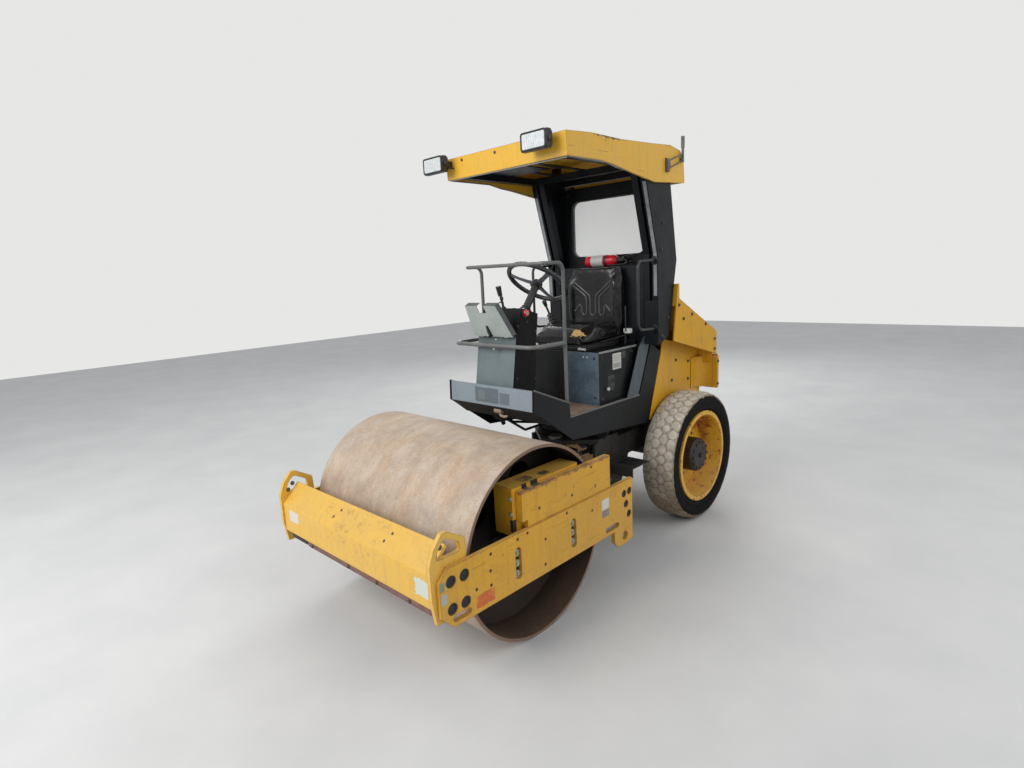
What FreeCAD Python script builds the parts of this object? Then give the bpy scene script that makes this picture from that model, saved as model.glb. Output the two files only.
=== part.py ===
import FreeCAD, Part
import math
import os
import Sketcher
from FreeCAD import Placement, Rotation, Vector
from types import SimpleNamespace

# Articulated road roller with a smooth drum in front, two wheels behind and an open platform.
# X runs across (+X is the machine's left), the drum is towards -Y, Z is up.
# The origin lies on the ground below the articulation, halfway along the machine.

# Driving dimensions in millimetres and degrees
SIZES = {
    # running gear
    "wheelbase": 1690, "drum_radius": 457, "drum_width": 1200, "shell_wall": 15,
    "disc_inset": 190, "disc_wall": 14, "disc_hole_radius": 75, "disc_hole_pitch": 265,
    "drum_hub_radius": 95, "drum_hub_length": 70, "spindle_radius": 50, "running_gap": 0.3,
    "tyre_radius": 425, "tyre_width": 216, "wheel_outer": 565, "rim_radius": 302,
    "rim_well": 268, "rim_lip": 12, "disc_radius": 252, "rim_seat": 284, "bead_gap": 0.3,
    "planet_radius": 112, "planet_length": 128, "axle_radius": 62, "stub_radius": 35,
    # front frame
    "frame_gap": 28, "plate_wall": 20, "plate_front": 1475, "plate_rear": 145,
    "plate_bottom": 323, "plate_top": 578, "nose_top": 48, "nose_bottom": 60,
    "lug_length": 170, "lug_bottom": 226, "lug_hole": 24, "buffer_reach": 193,
    "slot_half": 54, "slot_radius": 18, "slot_height": 443, "port_radius": 25,
    "loop_front": 1498, "loop_top": 715, "loop_rear": 1312, "loop_strap": 27, "loop_base": 596,
    "loop_wall": 22,
    "beam_front": 1490, "beam_bottom": 410, "beam_crease": 560, "beam_top": 655,
    "beam_back": 1400, "beam_wall": 15, "beam_lip": 70,
    "yoke_front": 330, "yoke_rear": 170, "yoke_bottom": 365, "yoke_top": 560,
    "bearing_radius": 88, "bearing_length": 200, "swing_height": 462, "swing_radius": 45,
    "box_front": 995, "box_rear": 335, "box_bottom": 578, "box_top": 748, "box_wall": 34,
    "motor_front": 1020, "motor_rear": 560, "motor_bottom": 545, "motor_top": 765,
    "motor_depth": 110, "carrier_inset": 100, "carrier_wall": 12, "carrier_reach": 255,
    "carrier_half": 70, "buffer_radius": 46, "scraper_back": 1440, "scraper_height": 388,
    "scraper_gap": 7,
    # articulation
    "pin_radius": 30, "link_radius": 62, "link_bottom": 300, "link_top": 620,
    "ear_wall": 24, "arm_reach": 130, "arm_back": 20, "arm_height": 560, "arm_gap": 22,
    "arm_wall": 15, "eye_radius": 30, "barrel_radius": 30, "rod_radius": 14,
    "base_side": 152, "base_back": 440, "barrel_length": 235, "cylinder_pin": 12,
    # chassis
    "rail_side": 256, "rail_wall": 16, "rail_front": 60, "rail_rear": 1290, "rail_low": 284,
    "rail_high": 500, "rail_top": 640, "weight_front": 1272, "weight_rear": 1500,
    "weight_half": 300, "weight_bottom": 400, "weight_top": 690, "step_out": 450,
    "step_front": 165, "step_rear": 350, "step_height": 500, "step_wall": 8,
    # platform
    "deck_half": 333, "deck_wall": 6, "deck_height": 885, "apron_half": 316, "apron_front": 548,
    "crease_place": 240, "sill_front": 262, "sill_rear": 396, "skirt_rear": 540,
    "skirt_bottom": 690, "seat_box_half": 300, "seat_box_front": 55, "seat_box_rear": 455,
    "seat_half": 228, "seat_front": 30, "seat_rear": 400, "back_wall": 95,
    "console_half": 145, "console_front": 508, "console_rear": 282,
    "lid_place": 478, "lid_length": 194, "lid_low_half": 149,
    "lid_high_half": 116, "lid_lean": 27.6, "lid_depth": 32, "lid_wall": 3, "lid_pin": 5,
    "toe_place": 428, "tank_front": 505, "tank_half": 326, "bottle_radius": 38,
    "column_radius": 22, "wheel_place": 110, "wheel_ring": 192,
    "wheel_grip": 14, "column_lean": 37, "rail_tube": 15, "post_place": 258,
    "top_reach": 392, "low_reach": 508, "boot_side": 285, "boot_place": 405,
    # heights above the deck
    "apron_top_rise": 198, "apron_bottom_rise": 86, "crease_height_rise": -130,
    "corner_height_rise": 83, "seat_box_top_rise": 315, "seat_bottom_rise": 350,
    "seat_top_rise": 477, "back_top_rise": 815, "console_top_rise": 590,
    "lid_height_rise": 467, "tank_top_rise": 805, "wheel_height_rise": 735,
    "top_rail_rise": 837, "low_rail_rise": 413, "panel_bottom_rise": 245,
    "panel_top_rise": 1330, "window_low_rise": 877, "window_high_rise": 1243,
    "post_top_rise": 1351, "lamp_height_rise": 1423,
    # roll-over frame and canopy
    "post_out": 430, "post_wall": 40, "web_wall": 18, "web_inset": 30, "tube_depth": 50,
    "leg_wall": 50, "grab_side": 410, "grab_tube": 12, "grab_place": 310,
    "canopy_half": 446, "canopy_wall": 12, "canopy_front": 367, "panel_place": 600,
    "panel_wall": 20, "window_half": 285, "window_round": 55, "glass_wall": 6,
    "lamp_width": 166, "lamp_high": 90, "lamp_depth": 45, "lamp_near": 308, "lamp_far": 468,
    "spigot_radius": 11,
    # hood and rear body
    "hood_half": 452, "hood_wall": 8, "hood_front": 700, "hood_high": 1470,
    "hood_rear": 1250, "hood_low": 1217, "hood_side_front": 1208, "hood_side_rear": 1050,
    "fin_top": 1562, "recess_half": 333, "tail_front": 1225, "tail_rear": 1345,
    "tail_half": 470, "tail_narrow": 425, "tail_bottom": 810, "grille_bars": 5,
    "hinge_pin": 6, "hinge_inset": 17, "hinge_lift": 14,
    "hinge_side": 214, "engine_half": 215, "engine_front": 700,
    "engine_rear": 1150, "engine_bottom": 560, "engine_top": 1130,
}

doc = FreeCAD.newDocument("road_roller")
sheet = doc.addObject("Spreadsheet::Sheet", "Dims")


class Size:
    """A length with the spreadsheet expression that gives it."""

    def __init__(self, value, text):
        self.value = float(value)
        self.text = text

    def __float__(self):
        return self.value

    def __neg__(self):
        return Size(-self.value, f"(0 - {self.text})")

    def __add__(self, other):
        other = size(other)
        return Size(self.value + other.value, f"({self.text} + {other.text})")

    def __sub__(self, other):
        other = size(other)
        return Size(self.value - other.value, f"({self.text} - {other.text})")

    def __mul__(self, other):
        other = size(other)
        return Size(self.value * other.value, f"({self.text} * {other.text})")

    def __truediv__(self, other):
        other = size(other)
        return Size(self.value / other.value, f"({self.text} / {other.text})")

    __radd__ = __add__
    __rmul__ = __mul__

    def __rsub__(self, other):
        return size(other) - self


def size(number):
    """Give a plain number the same form as a named size."""
    if isinstance(number, Size):
        return number
    return Size(number, repr(float(number)))


def fill_sheet():
    """Name every driving dimension in the sheet, and work out the heights given above the deck."""
    named = {}
    for row, (name, number) in enumerate(SIZES.items(), start=1):
        sheet.set(f"A{row}", name)
        sheet.set(f"B{row}", str(number))
        sheet.setAlias(f"B{row}", name)
        named[name] = Size(number, f"Dims.{name}")
    for name in SIZES:
        if name.endswith("_rise"):
            named[name[:-5]] = named["deck_height"] + named[name]
    named["frame_half"] = named["drum_width"] / 2 + named["frame_gap"] + named["plate_wall"]
    doc.recompute()
    return SimpleNamespace(**named)


d = fill_sheet()
drum_place = -d.wheelbase / 2
axle_place = d.wheelbase / 2
nodes = []


def bind(thing, setting, amount):
    """Tie one setting of a document object to the sheet."""
    if isinstance(amount, Size):
        thing.setExpression(setting, amount.text)


def keep(thing, label):
    """Name a finished sub-part, which becomes one file."""
    thing.Label = label
    nodes.append(thing)
    return thing


def plane_of(body, plane):
    """Find one of a body's own origin planes."""
    for feature in body.Origin.OriginFeatures:
        if feature.Role == plane + "_Plane":
            return feature


def sketch(body, name, plane, offset, outline, circles=(), inner=()):
    """Draw closed outlines, corner by corner, each corner tied to the sheet."""
    drawing = body.newObject("Sketcher::SketchObject", name)
    drawing.AttachmentSupport = (plane_of(body, plane), [""])
    drawing.MapMode = "FlatFace"
    lift = size(offset)
    drawing.AttachmentOffset = Placement(Vector(0, 0, float(lift)), Rotation())
    bind(drawing, "AttachmentOffset.Base.z", lift)
    ties = []
    for corners in [outline, *inner]:
        first = drawing.GeometryCount
        points = [Vector(float(u), float(v), 0) for u, v in corners]
        count = len(points)
        for index in range(count):
            line = Part.LineSegment(points[index], points[(index + 1) % count])
            drawing.addGeometry(line, False)
        for index in range(count):
            following = first + (index + 1) % count
            drawing.addConstraint(Sketcher.Constraint("Coincident", first + index, 2, following, 1))
        for index, corner in enumerate(corners):
            for kind, amount in zip(("DistanceX", "DistanceY"), corner):
                amount = size(amount)
                rule = Sketcher.Constraint(kind, -1, 1, first + index, 1, float(amount))
                ties.append((drawing.addConstraint(rule), amount))
    for u, v, radius in circles:
        centre = Vector(float(u), float(v), 0)
        ring = drawing.addGeometry(Part.Circle(centre, Vector(0, 0, 1), float(radius)), False)
        for kind, amount in (("DistanceX", u), ("DistanceY", v)):
            amount = size(amount)
            rule = Sketcher.Constraint(kind, -1, 1, ring, 3, float(amount))
            ties.append((drawing.addConstraint(rule), amount))
        rule = Sketcher.Constraint("Radius", ring, float(radius))
        ties.append((drawing.addConstraint(rule), size(radius)))
    for number, amount in ties:
        bind(drawing, f"Constraints[{number}]", amount)
    return drawing


ALONG = {"XY": Vector(0, 0, 1), "XZ": Vector(0, 1, 0), "YZ": Vector(1, 0, 0)}
ACROSS = {"XY": ("x", "y"), "XZ": ("x", "z"), "YZ": ("y", "z")}


def edges_at(shape, plane, corners):
    """Name the edges that run along a plate's thickness at the given corners."""
    found = []
    u_axis, v_axis = ACROSS[plane]
    for number, edge in enumerate(shape.Edges, start=1):
        if edge.Curve.TypeId != "Part::GeomLine":
            continue
        if abs(abs(edge.tangentAt(edge.FirstParameter).dot(ALONG[plane])) - 1) > 1e-6:
            continue
        place = edge.Vertexes[0].Point
        for u, v in corners:
            if math.hypot(getattr(place, u_axis) - float(u), getattr(place, v_axis) - float(v)) < 0.01:
                found.append(f"Edge{number}")
    return found


def plate(label, plane, start, end, outline, circles=(), inner=(), rounds=(), final=True):
    """A body padded from one outline between two places along the plane's normal."""
    body = doc.addObject("PartDesign::Body", label + "_body")
    start = size(start)
    end = size(end)
    offset = -end if plane == "XZ" else start
    drawing = sketch(body, label + "_outline", plane, offset, outline, circles, inner)
    pad = body.newObject("PartDesign::Pad", label + "_pad")
    pad.Profile = drawing
    pad.Length = float(end - start)
    bind(pad, "Length", end - start)
    drawing.Visibility = False
    for number, (radius, corners) in enumerate(rounds):
        doc.recompute()
        base = body.Tip
        fillet = body.newObject("PartDesign::Fillet", f"{label}_round{number}")
        fillet.Base = (base, edges_at(base.Shape, plane, corners))
        fillet.Radius = float(radius)
        bind(fillet, "Radius", size(radius))
        body.Tip = fillet
    if final:
        keep(body, label)
    return body


def turned(label, outline, place, height, final=True):
    """A body turned about an axle across the machine, from a half section of (x, radius)."""
    body = doc.addObject("PartDesign::Body", label + "_body")
    drawing = sketch(body, label + "_section", "XZ", 0, outline)
    spin = body.newObject("PartDesign::Revolution", label + "_turn")
    spin.Profile = drawing
    spin.ReferenceAxis = (drawing, ["H_Axis"])
    spin.Angle = 360
    drawing.Visibility = False
    body.Placement = Placement(Vector(0, float(place), float(height)), Rotation())
    bind(body, "Placement.Base.y", size(place))
    bind(body, "Placement.Base.z", size(height))
    if final:
        keep(body, label)
    return body


def primitive(kind, name, sizes, place, turn=None):
    """One of the plain solids, its sizes and place tied to the sheet."""
    solid = doc.addObject("Part::" + kind, name)
    for setting, amount in sizes.items():
        setattr(solid, setting, float(amount))
        bind(solid, setting, size(amount))
    position = [size(amount) for amount in place]
    solid.Placement = Placement(Vector(*[float(amount) for amount in position]), turn or Rotation())
    for axis, amount in zip("xyz", position):
        bind(solid, "Placement.Base." + axis, amount)
    return solid


def box(name, low, high):
    """A block between two opposite corners."""
    low = [size(amount) for amount in low]
    high = [size(amount) for amount in high]
    sizes = {key: b - a for key, a, b in zip(("Length", "Width", "Height"), low, high)}
    return primitive("Box", name, sizes, low)


TURNS = {
    "x": Rotation(Vector(0, 1, 0), 90),
    "y": Rotation(Vector(1, 0, 0), -90),
    "z": Rotation(),
}


def rod(name, axis, radius, length, place):
    """A round bar that starts at a place and runs along one axis."""
    return primitive("Cylinder", name, {"Radius": radius, "Height": length}, place, TURNS[axis])


def joined(label, pieces, final=True):
    """Weld several solids into one."""
    whole = doc.addObject("Part::MultiFuse", label + "_fuse")
    whole.Shapes = list(pieces)
    if final:
        keep(whole, label)
    return whole


def cut(label, base, tool, final=True):
    """Take one solid out of another."""
    rest = doc.addObject("Part::Cut", label + "_cut")
    rest.Base = base
    rest.Tool = tool
    if final:
        keep(rest, label)
    return rest


def shaped(label, shape, final=True):
    """A piece whose form neither a sketch nor a plain solid gives."""
    thing = doc.addObject("Part::Feature", label + "_shape")
    thing.Shape = shape
    if final:
        keep(thing, label)
    return thing


def tube_along(points, radius, bend):
    """Sweep a round bar along straight runs joined by tangent arcs."""
    points = [Vector(*[float(amount) for amount in point]) for point in points]
    edges = []
    start = points[0]
    for before, corner, after in zip(points, points[1:], points[2:]):
        inward = (before - corner).normalize()
        onward = (after - corner).normalize()
        half = inward.getAngle(onward) / 2
        setback = bend / math.tan(half)
        first = corner + inward * setback
        last = corner + onward * setback
        middle = corner + (inward + onward).normalize() * (bend / math.sin(half) - bend)
        edges.append(Part.LineSegment(start, first).toShape())
        edges.append(Part.Arc(first, middle, last).toShape())
        start = last
    edges.append(Part.LineSegment(start, points[-1]).toShape())
    path = Part.Wire(edges)
    heading = points[1] - points[0]
    ring = Part.Wire(Part.makeCircle(radius, points[0], heading))
    return path.makePipeShell([ring], True, False)


def height_at(line, place):
    """Read the height of a bent line at one place along it."""
    for (start, low), (end, high) in zip(line, line[1:]):
        if float(start) <= float(place) <= float(end):
            return low + (high - low) * ((place - start) / (end - start))


SIDES = (("left", 1), ("right", -1))


def span(sign, inner, outer):
    """Put an across-the-machine span on the left or on the right."""
    if sign > 0:
        return inner, outer
    return -outer, -inner


# Front frame

def side_plates():
    """Two long plates beside the drum, with bolt slots, ports and tie-down lugs."""
    front = -d.plate_front
    rear = -d.plate_rear
    lug_front = rear - d.lug_length
    outline = [
        (front, d.plate_bottom + d.nose_bottom), (front, d.plate_top - d.nose_top),
        (front + d.nose_top, d.plate_top), (rear, d.plate_top), (rear, d.lug_bottom + 12),
        (rear - 70, d.lug_bottom), (lug_front + 40, d.lug_bottom), (lug_front, d.lug_bottom + 36),
        (lug_front, d.plate_bottom), (front + d.nose_bottom, d.plate_bottom)]
    ports = [
        (front + 58, d.plate_bottom + 79), (front + 128, d.plate_bottom + 79),
        (front + 58, d.plate_bottom + 195), (front + 128, d.plate_bottom + 195),
        (rear - 78, d.plate_top - 70), (rear - 29, d.plate_top - 67),
        (rear - 60, d.plate_top - 131), (rear - 34, d.plate_top - 193)]
    circles = [(u, v, d.port_radius if index < 4 else d.port_radius * 0.8)
               for index, (u, v) in enumerate(ports)]
    circles.append((rear - 74, d.lug_bottom + 48, d.lug_hole))
    slots = []
    for place in (drum_place - d.buffer_reach, drum_place + d.buffer_reach):
        low = d.slot_height - d.slot_half - d.slot_radius
        high = d.slot_height + d.slot_half + d.slot_radius
        slots.append([(place - d.slot_radius, low), (place + d.slot_radius, low),
                      (place + d.slot_radius, high), (place - d.slot_radius, high)])
    for place, length in ((front + 58, 96), (rear - 246, 118)):
        low = d.plate_bottom + 20
        slots.append([(place, low), (place + length, low), (place + length, low + 27), (place, low + 27)])
    rounds = [(d.slot_radius - 1, slots[0] + slots[1]), (13, slots[2] + slots[3])]
    pair = []
    for side, sign in SIDES:
        start, end = span(sign, d.frame_half - d.plate_wall, d.frame_half)
        pair.append(plate(f"side_plate_{side}", "YZ", start, end, outline, circles, slots, rounds, False))
    joined("side_plates", pair)


def end_plates():
    """End plates of the front beam, each with a lifting loop on top."""
    front = -d.loop_front
    rear = -d.loop_rear
    base = d.loop_base
    foot = d.beam_bottom - 58
    outline = [
        (front + 18, foot), (front, d.beam_bottom + 50), (front, base + 6), (front + 25, d.loop_top - 50),
        (front + 68, d.loop_top), (front + 94, d.loop_top), (rear - 4, d.loop_top - 52),
        (rear, base), (rear - 40, base - 90), (front + 90, foot + 28), (front + 80, foot)]
    strap = d.loop_strap
    window = [
        (front + strap + 2, base + 18), (front + strap + 20, d.loop_top - 54),
        (front + 74, d.loop_top - strap), (front + 90, d.loop_top - strap),
        (rear - strap - 8, d.loop_top - 62), (rear - strap - 4, base + 18)]
    rounds = [(16, outline[2:8]), (9, window)]
    outer = d.frame_half - d.plate_wall
    pair = []
    for side, sign in SIDES:
        start, end = span(sign, outer - d.loop_wall, outer)
        pair.append(plate(f"end_plate_{side}", "YZ", start, end, outline, (), [window], rounds, False))
    joined("end_plates", pair)


def front_beam():
    """A plate bent along its length, with a lip below, between the end plates."""
    front = -d.beam_front
    wall = d.beam_wall
    outline = [
        (front, d.beam_bottom), (front, d.beam_crease), (-d.beam_back, d.beam_top),
        (-d.beam_back + wall * 0.7, d.beam_top - wall * 0.7), (front + wall, d.beam_crease - wall * 0.4),
        (front + wall, d.beam_bottom + wall), (front + d.beam_lip, d.beam_bottom + wall),
        (front + d.beam_lip, d.beam_bottom)]
    half = d.frame_half - d.plate_wall - d.loop_wall
    rounds = [(18, outline[1:2]), (10, outline[0:1])]
    plate("front_beam", "YZ", -half, half, outline, rounds=rounds)


def scrapers():
    """Flat blades on a bar in front of and behind the drum, just clear of its shell."""
    half = d.frame_half - d.plate_wall - d.loop_wall
    reach = d.drum_radius + d.scraper_gap
    tip = d.scraper_height - 52
    across = (reach * reach - (d.drum_radius - tip) * (d.drum_radius - tip))
    run = Size(math.sqrt(float(across)), f"sqrt({across.text})")
    pair = []
    for name, sign, back in (("scraper_front", -1, d.scraper_back - d.wheelbase / 2),
                             ("scraper_rear", 1, d.wheelbase / 2 - d.yoke_front)):
        near = drum_place + run * sign
        far = drum_place + back * sign
        outline = [(near, tip), (far, d.scraper_height - 12), (far, d.scraper_height + 16),
                   (far - 14 * sign, d.scraper_height + 16), (far - 16 * sign, d.scraper_height - 6),
                   (near, tip + 8)]
        pair.append(plate(name, "YZ", -half, half, outline, final=False))
    joined("scrapers", pair)


def rear_beam():
    """A box beam across the back of the front frame with the oscillation bearing in it."""
    half = d.frame_half - d.plate_wall
    beam = box("rear_beam_block", (-half, -d.yoke_front, d.yoke_bottom), (half, -d.yoke_rear, d.yoke_top))
    housing = rod("rear_beam_housing", "y", d.bearing_radius, d.bearing_length,
                  (0, -d.yoke_front, d.swing_height))
    bore = rod("rear_beam_bore", "y", d.swing_radius + d.running_gap, d.bearing_length + 40,
               (0, -d.yoke_front - 40, d.swing_height))
    cut("rear_beam", joined("rear_beam_whole", [beam, housing], False), bore)


def side_boxes():
    """The drive boxes that stand on the side plates and reach into the drum's open ends."""
    low = d.box_bottom + 0.3
    notch = d.box_wall
    outline = [(-d.box_front, low + notch), (-d.box_front, d.box_top), (-d.box_rear, d.box_top),
               (-d.box_rear, low), (notch - d.box_front, low), (notch - d.box_front, low + notch)]
    pieces = []
    for side, sign in SIDES:
        top = d.frame_half - 8
        start, end = span(sign, top - d.box_wall, top)
        outer = plate(f"side_box_outer_{side}", "YZ", start, end, outline, final=False)
        start, end = span(sign, top - d.box_wall - d.motor_depth, top - d.box_wall)
        block = box(f"side_box_block_{side}", (start, -d.motor_front, d.motor_bottom),
                    (end, -d.motor_rear, d.motor_top))
        pieces += [outer, block]
    joined("side_boxes", pieces)


def carriers():
    """Plates inside the drum's ends, hung on rubber buffers, that hold its spindles."""
    reach = d.carrier_reach
    half = d.carrier_half
    height = d.drum_radius
    outline = [(drum_place - reach, height - half), (drum_place + reach, height - half),
               (drum_place + reach, height + half), (drum_place - reach, height + half)]
    webs = []
    rubbers = []
    for side, sign in SIDES:
        outer = d.frame_half - d.plate_wall - d.carrier_inset
        start, end = span(sign, outer - d.carrier_wall, outer)
        web = plate(f"carrier_web_{side}", "YZ", start, end, outline, rounds=[(40, outline)], final=False)
        length = outer - (d.drum_width / 2 - d.disc_inset - d.disc_wall - 16)
        start, end = span(sign, outer - length, outer)
        spindle = rod(f"carrier_spindle_{side}", "x", d.spindle_radius, length, (start, drum_place, height))
        collar = d.drum_hub_length - 40
        start, end = span(sign, outer - d.carrier_wall - collar, outer - d.carrier_wall)
        flange = rod(f"carrier_collar_{side}", "x", d.spindle_radius + 25, collar, (start, drum_place, height))
        webs += [web, spindle, flange]
        start, end = span(sign, outer, d.frame_half - d.plate_wall)
        for number, place in enumerate((drum_place - d.buffer_reach, drum_place + d.buffer_reach)):
            rubbers.append(rod(f"buffer_{side}_{number}", "x", d.buffer_radius, d.carrier_inset,
                               (start, place, d.slot_height)))
    joined("drum_carriers", webs)
    joined("rubber_buffers", rubbers)


def drum():
    """Rolled shell with two inset discs, each with a hub and round openings."""
    half = d.drum_width / 2
    outer = d.drum_radius
    inner = d.drum_radius - d.shell_wall
    disc = half - d.disc_inset
    bore = d.spindle_radius + d.running_gap
    hub = d.drum_hub_radius
    outline = [(-half, outer), (half, outer), (half, inner), (disc, inner), (disc, hub), (disc + 16, hub),
               (disc + 16, bore), (disc - d.disc_wall - 16, bore), (disc - d.disc_wall - 16, hub),
               (disc - d.disc_wall, hub), (disc - d.disc_wall, inner)]
    outline += [(-across, radius) for across, radius in reversed(outline[2:])]
    body = turned("drum", outline, drum_place, outer, final=False)
    doc.recompute()
    holes = sketch(body, "drum_openings", "YZ", 0, [], [(d.disc_hole_pitch, 0, d.disc_hole_radius)])
    pocket = body.newObject("PartDesign::Pocket", "drum_pocket")
    pocket.Profile = holes
    pocket.Type = "ThroughAll"
    pocket.Midplane = True
    ring = body.newObject("PartDesign::PolarPattern", "drum_pattern")
    ring.Originals = [pocket]
    ring.Angle = 360
    ring.Occurrences = 5
    for feature in body.Origin.OriginFeatures:
        if feature.Role == "X_Axis":
            ring.Axis = (feature, [""])
    body.Tip = ring
    keep(body, "drum")


# Articulation

def articulation():
    """A link that steers on a standing pin and lets the front frame tilt on its shaft."""
    hub = rod("link_hub", "z", d.link_radius, d.link_top - d.link_bottom, (0, 0, d.link_bottom))
    shaft_end = d.yoke_front + 16
    shaft = rod("link_shaft", "y", d.swing_radius, shaft_end, (0, -shaft_end, d.swing_height))
    flange = rod("link_flange", "y", d.swing_radius + 35, d.yoke_rear - d.link_radius - 52,
                 (0, -d.yoke_rear + 42, d.swing_height))
    pieces = [hub, shaft, flange]
    for number, height in enumerate((d.arm_height - d.arm_gap - d.arm_wall, d.arm_height + d.arm_gap)):
        outline = [(0, -d.link_radius + 6), (d.arm_reach, d.arm_back - d.eye_radius),
                   (d.arm_reach + d.eye_radius, d.arm_back), (d.arm_reach, d.arm_back + d.eye_radius),
                   (0, d.link_radius - 6)]
        pieces.append(plate(f"link_ear_{number}", "XY", height, height + d.arm_wall, outline,
                            rounds=[(24, outline[2:3])], final=False))
    whole = joined("link_whole", pieces, False)
    bore = rod("link_bore", "z", d.pin_radius + d.running_gap, d.link_top - d.link_bottom + 40,
               (0, 0, d.link_bottom - 20))
    cut("articulation_link", whole, bore)
    low = d.rail_low - d.ear_wall - 12
    high = d.rail_top + d.ear_wall + 12
    rod_pin = rod("pivot_pin_bar", "z", d.pin_radius, high - low, (0, 0, low))
    heads = [rod("pivot_pin_foot", "z", d.pin_radius + 14, 12, (0, 0, low)),
             rod("pivot_pin_head", "z", d.pin_radius + 14, 12, (0, 0, high - 12))]
    joined("pivot_pin", [rod_pin, *heads])


def steering_cylinder():
    """Barrel on the chassis and rod to the link's ears; gives back the bracket that holds the barrel."""
    base = Vector(float(d.base_side), float(d.base_back), float(d.arm_height))
    eye = Vector(float(d.arm_reach), float(d.arm_back), float(d.arm_height))
    heading = (eye - base).normalize()
    reach = (eye - base).Length
    thick = 2 * (float(d.arm_gap) - 3)
    pin = float(d.cylinder_pin)
    gap = float(d.running_gap)
    boss = float(d.eye_radius) - 4
    up = Vector(0, 0, 1)
    start = base + heading * boss
    start = start + heading * 8
    barrel = Part.makeCylinder(float(d.barrel_radius), float(d.barrel_length), start, heading)
    bore = Part.makeCylinder(float(d.rod_radius) + gap, float(d.barrel_length), start + heading * 12, heading)
    foot = Part.makeCylinder(boss, thick, base - up * thick / 2, up)
    neck = Part.makeCylinder(boss * 0.7, boss + 10, base, heading)
    hole = Part.makeCylinder(pin + gap, thick + 2, base - up * (thick / 2 + 1), up)
    shaped("cylinder_barrel", barrel.fuse([foot, neck]).cut(bore).cut(hole))
    rod_length = reach - boss - float(d.barrel_length) + 100
    bar = Part.makeCylinder(float(d.rod_radius), rod_length, eye - heading * rod_length, heading)
    ring = Part.makeCylinder(boss, thick, eye - up * thick / 2, up)
    shaped("cylinder_rod", bar.fuse(ring))
    wall = float(d.arm_wall)
    side = float(d.rail_side) - float(d.rail_wall)
    ears = []
    for height in (base.z - thick / 2 - gap - wall, base.z + thick / 2 + gap):
        ear = Part.makeBox(side - base.x, 2 * boss, wall, Vector(base.x, base.y - boss, height))
        ears.append(ear.fuse(Part.makeCylinder(boss, wall, Vector(base.x, base.y, height), up)))
    tall = thick + 2 * gap + 2 * wall + 16
    bolt = Part.makeCylinder(pin, tall, base - up * tall / 2, up)
    return shaped("cylinder_bracket", ears[0].fuse([ears[1], bolt]), False)


# Chassis

def chassis():
    """Two long rails with ears in front for the standing pin, cross plates and the cylinder's bracket."""
    front = d.rail_front
    outline = [(front, d.rail_low), (front + 250, d.rail_low), (front + 360, d.rail_high),
               (d.rail_rear - 18, d.rail_high), (d.rail_rear - 18, d.rail_top), (front, d.rail_top)]
    pieces = []
    for side, sign in SIDES:
        start, end = span(sign, d.rail_side - d.rail_wall, d.rail_side)
        pieces.append(plate(f"rail_{side}", "YZ", start, end, outline, final=False))
    ear = [(-70, -62), (70, -62), (d.rail_side, 95), (d.rail_side, 300), (-d.rail_side, 300),
           (-d.rail_side, 95)]
    bore = [(0, 0, d.pin_radius)]
    for name, low in (("low", d.rail_low - d.ear_wall), ("high", d.rail_top)):
        pieces.append(plate(f"chassis_ear_{name}", "XY", low, low + d.ear_wall, ear, bore, final=False))
    skin = d.deck_half - d.deck_wall
    rear_arm = [(d.rail_side - 6, d.rail_top - 40), (d.rail_side - 6, d.rail_top), (skin, d.rail_top + 120),
                (skin, d.rail_top + 62), (d.rail_side + 14, d.rail_top - 40)]
    front_arm = [(d.rail_side - 56, d.rail_top + 10), (d.rail_side - 56, d.deck_height - d.deck_wall),
                 (skin, d.deck_height - d.deck_wall), (skin, d.rail_top + 120), (d.rail_side, d.rail_top + 10)]
    for side, sign in SIDES:
        for name, place, arm in (("rear", 600, rear_arm), ("front", 150, front_arm)):
            outline = [(across * sign, height) for across, height in arm]
            pieces.append(plate(f"chassis_arm_{name}_{side}", "XZ", place, place + 14, outline, final=False))
    half = d.rail_side - d.rail_wall
    for number, place in enumerate((500, 1180)):
        pieces.append(box(f"chassis_cross_{number}", (-half, place, d.rail_high + 20),
                          (half, place + 14, d.rail_top - 10)))
    joined("chassis", [*pieces, steering_cylinder()])


def rear_axle():
    """Axle tube under the rails with its pads, and a stub in each wheel hub."""
    reach = d.wheel_outer - d.tyre_width - 25
    tube = rod("axle_tube", "x", d.axle_radius, reach * 2, (-reach, axle_place, d.tyre_radius))
    stub = reach + 90
    bar = rod("axle_stub", "x", d.stub_radius, stub * 2, (-stub, axle_place, d.tyre_radius))
    pieces = [tube, bar]
    for side, sign in SIDES:
        start, end = span(sign, d.rail_side - d.rail_wall - 30, d.rail_side + 14)
        pieces.append(box(f"axle_pad_{side}", (start, axle_place - 70, d.tyre_radius),
                          (end, axle_place + 70, d.rail_high)))
    joined("rear_axle", pieces)


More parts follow.
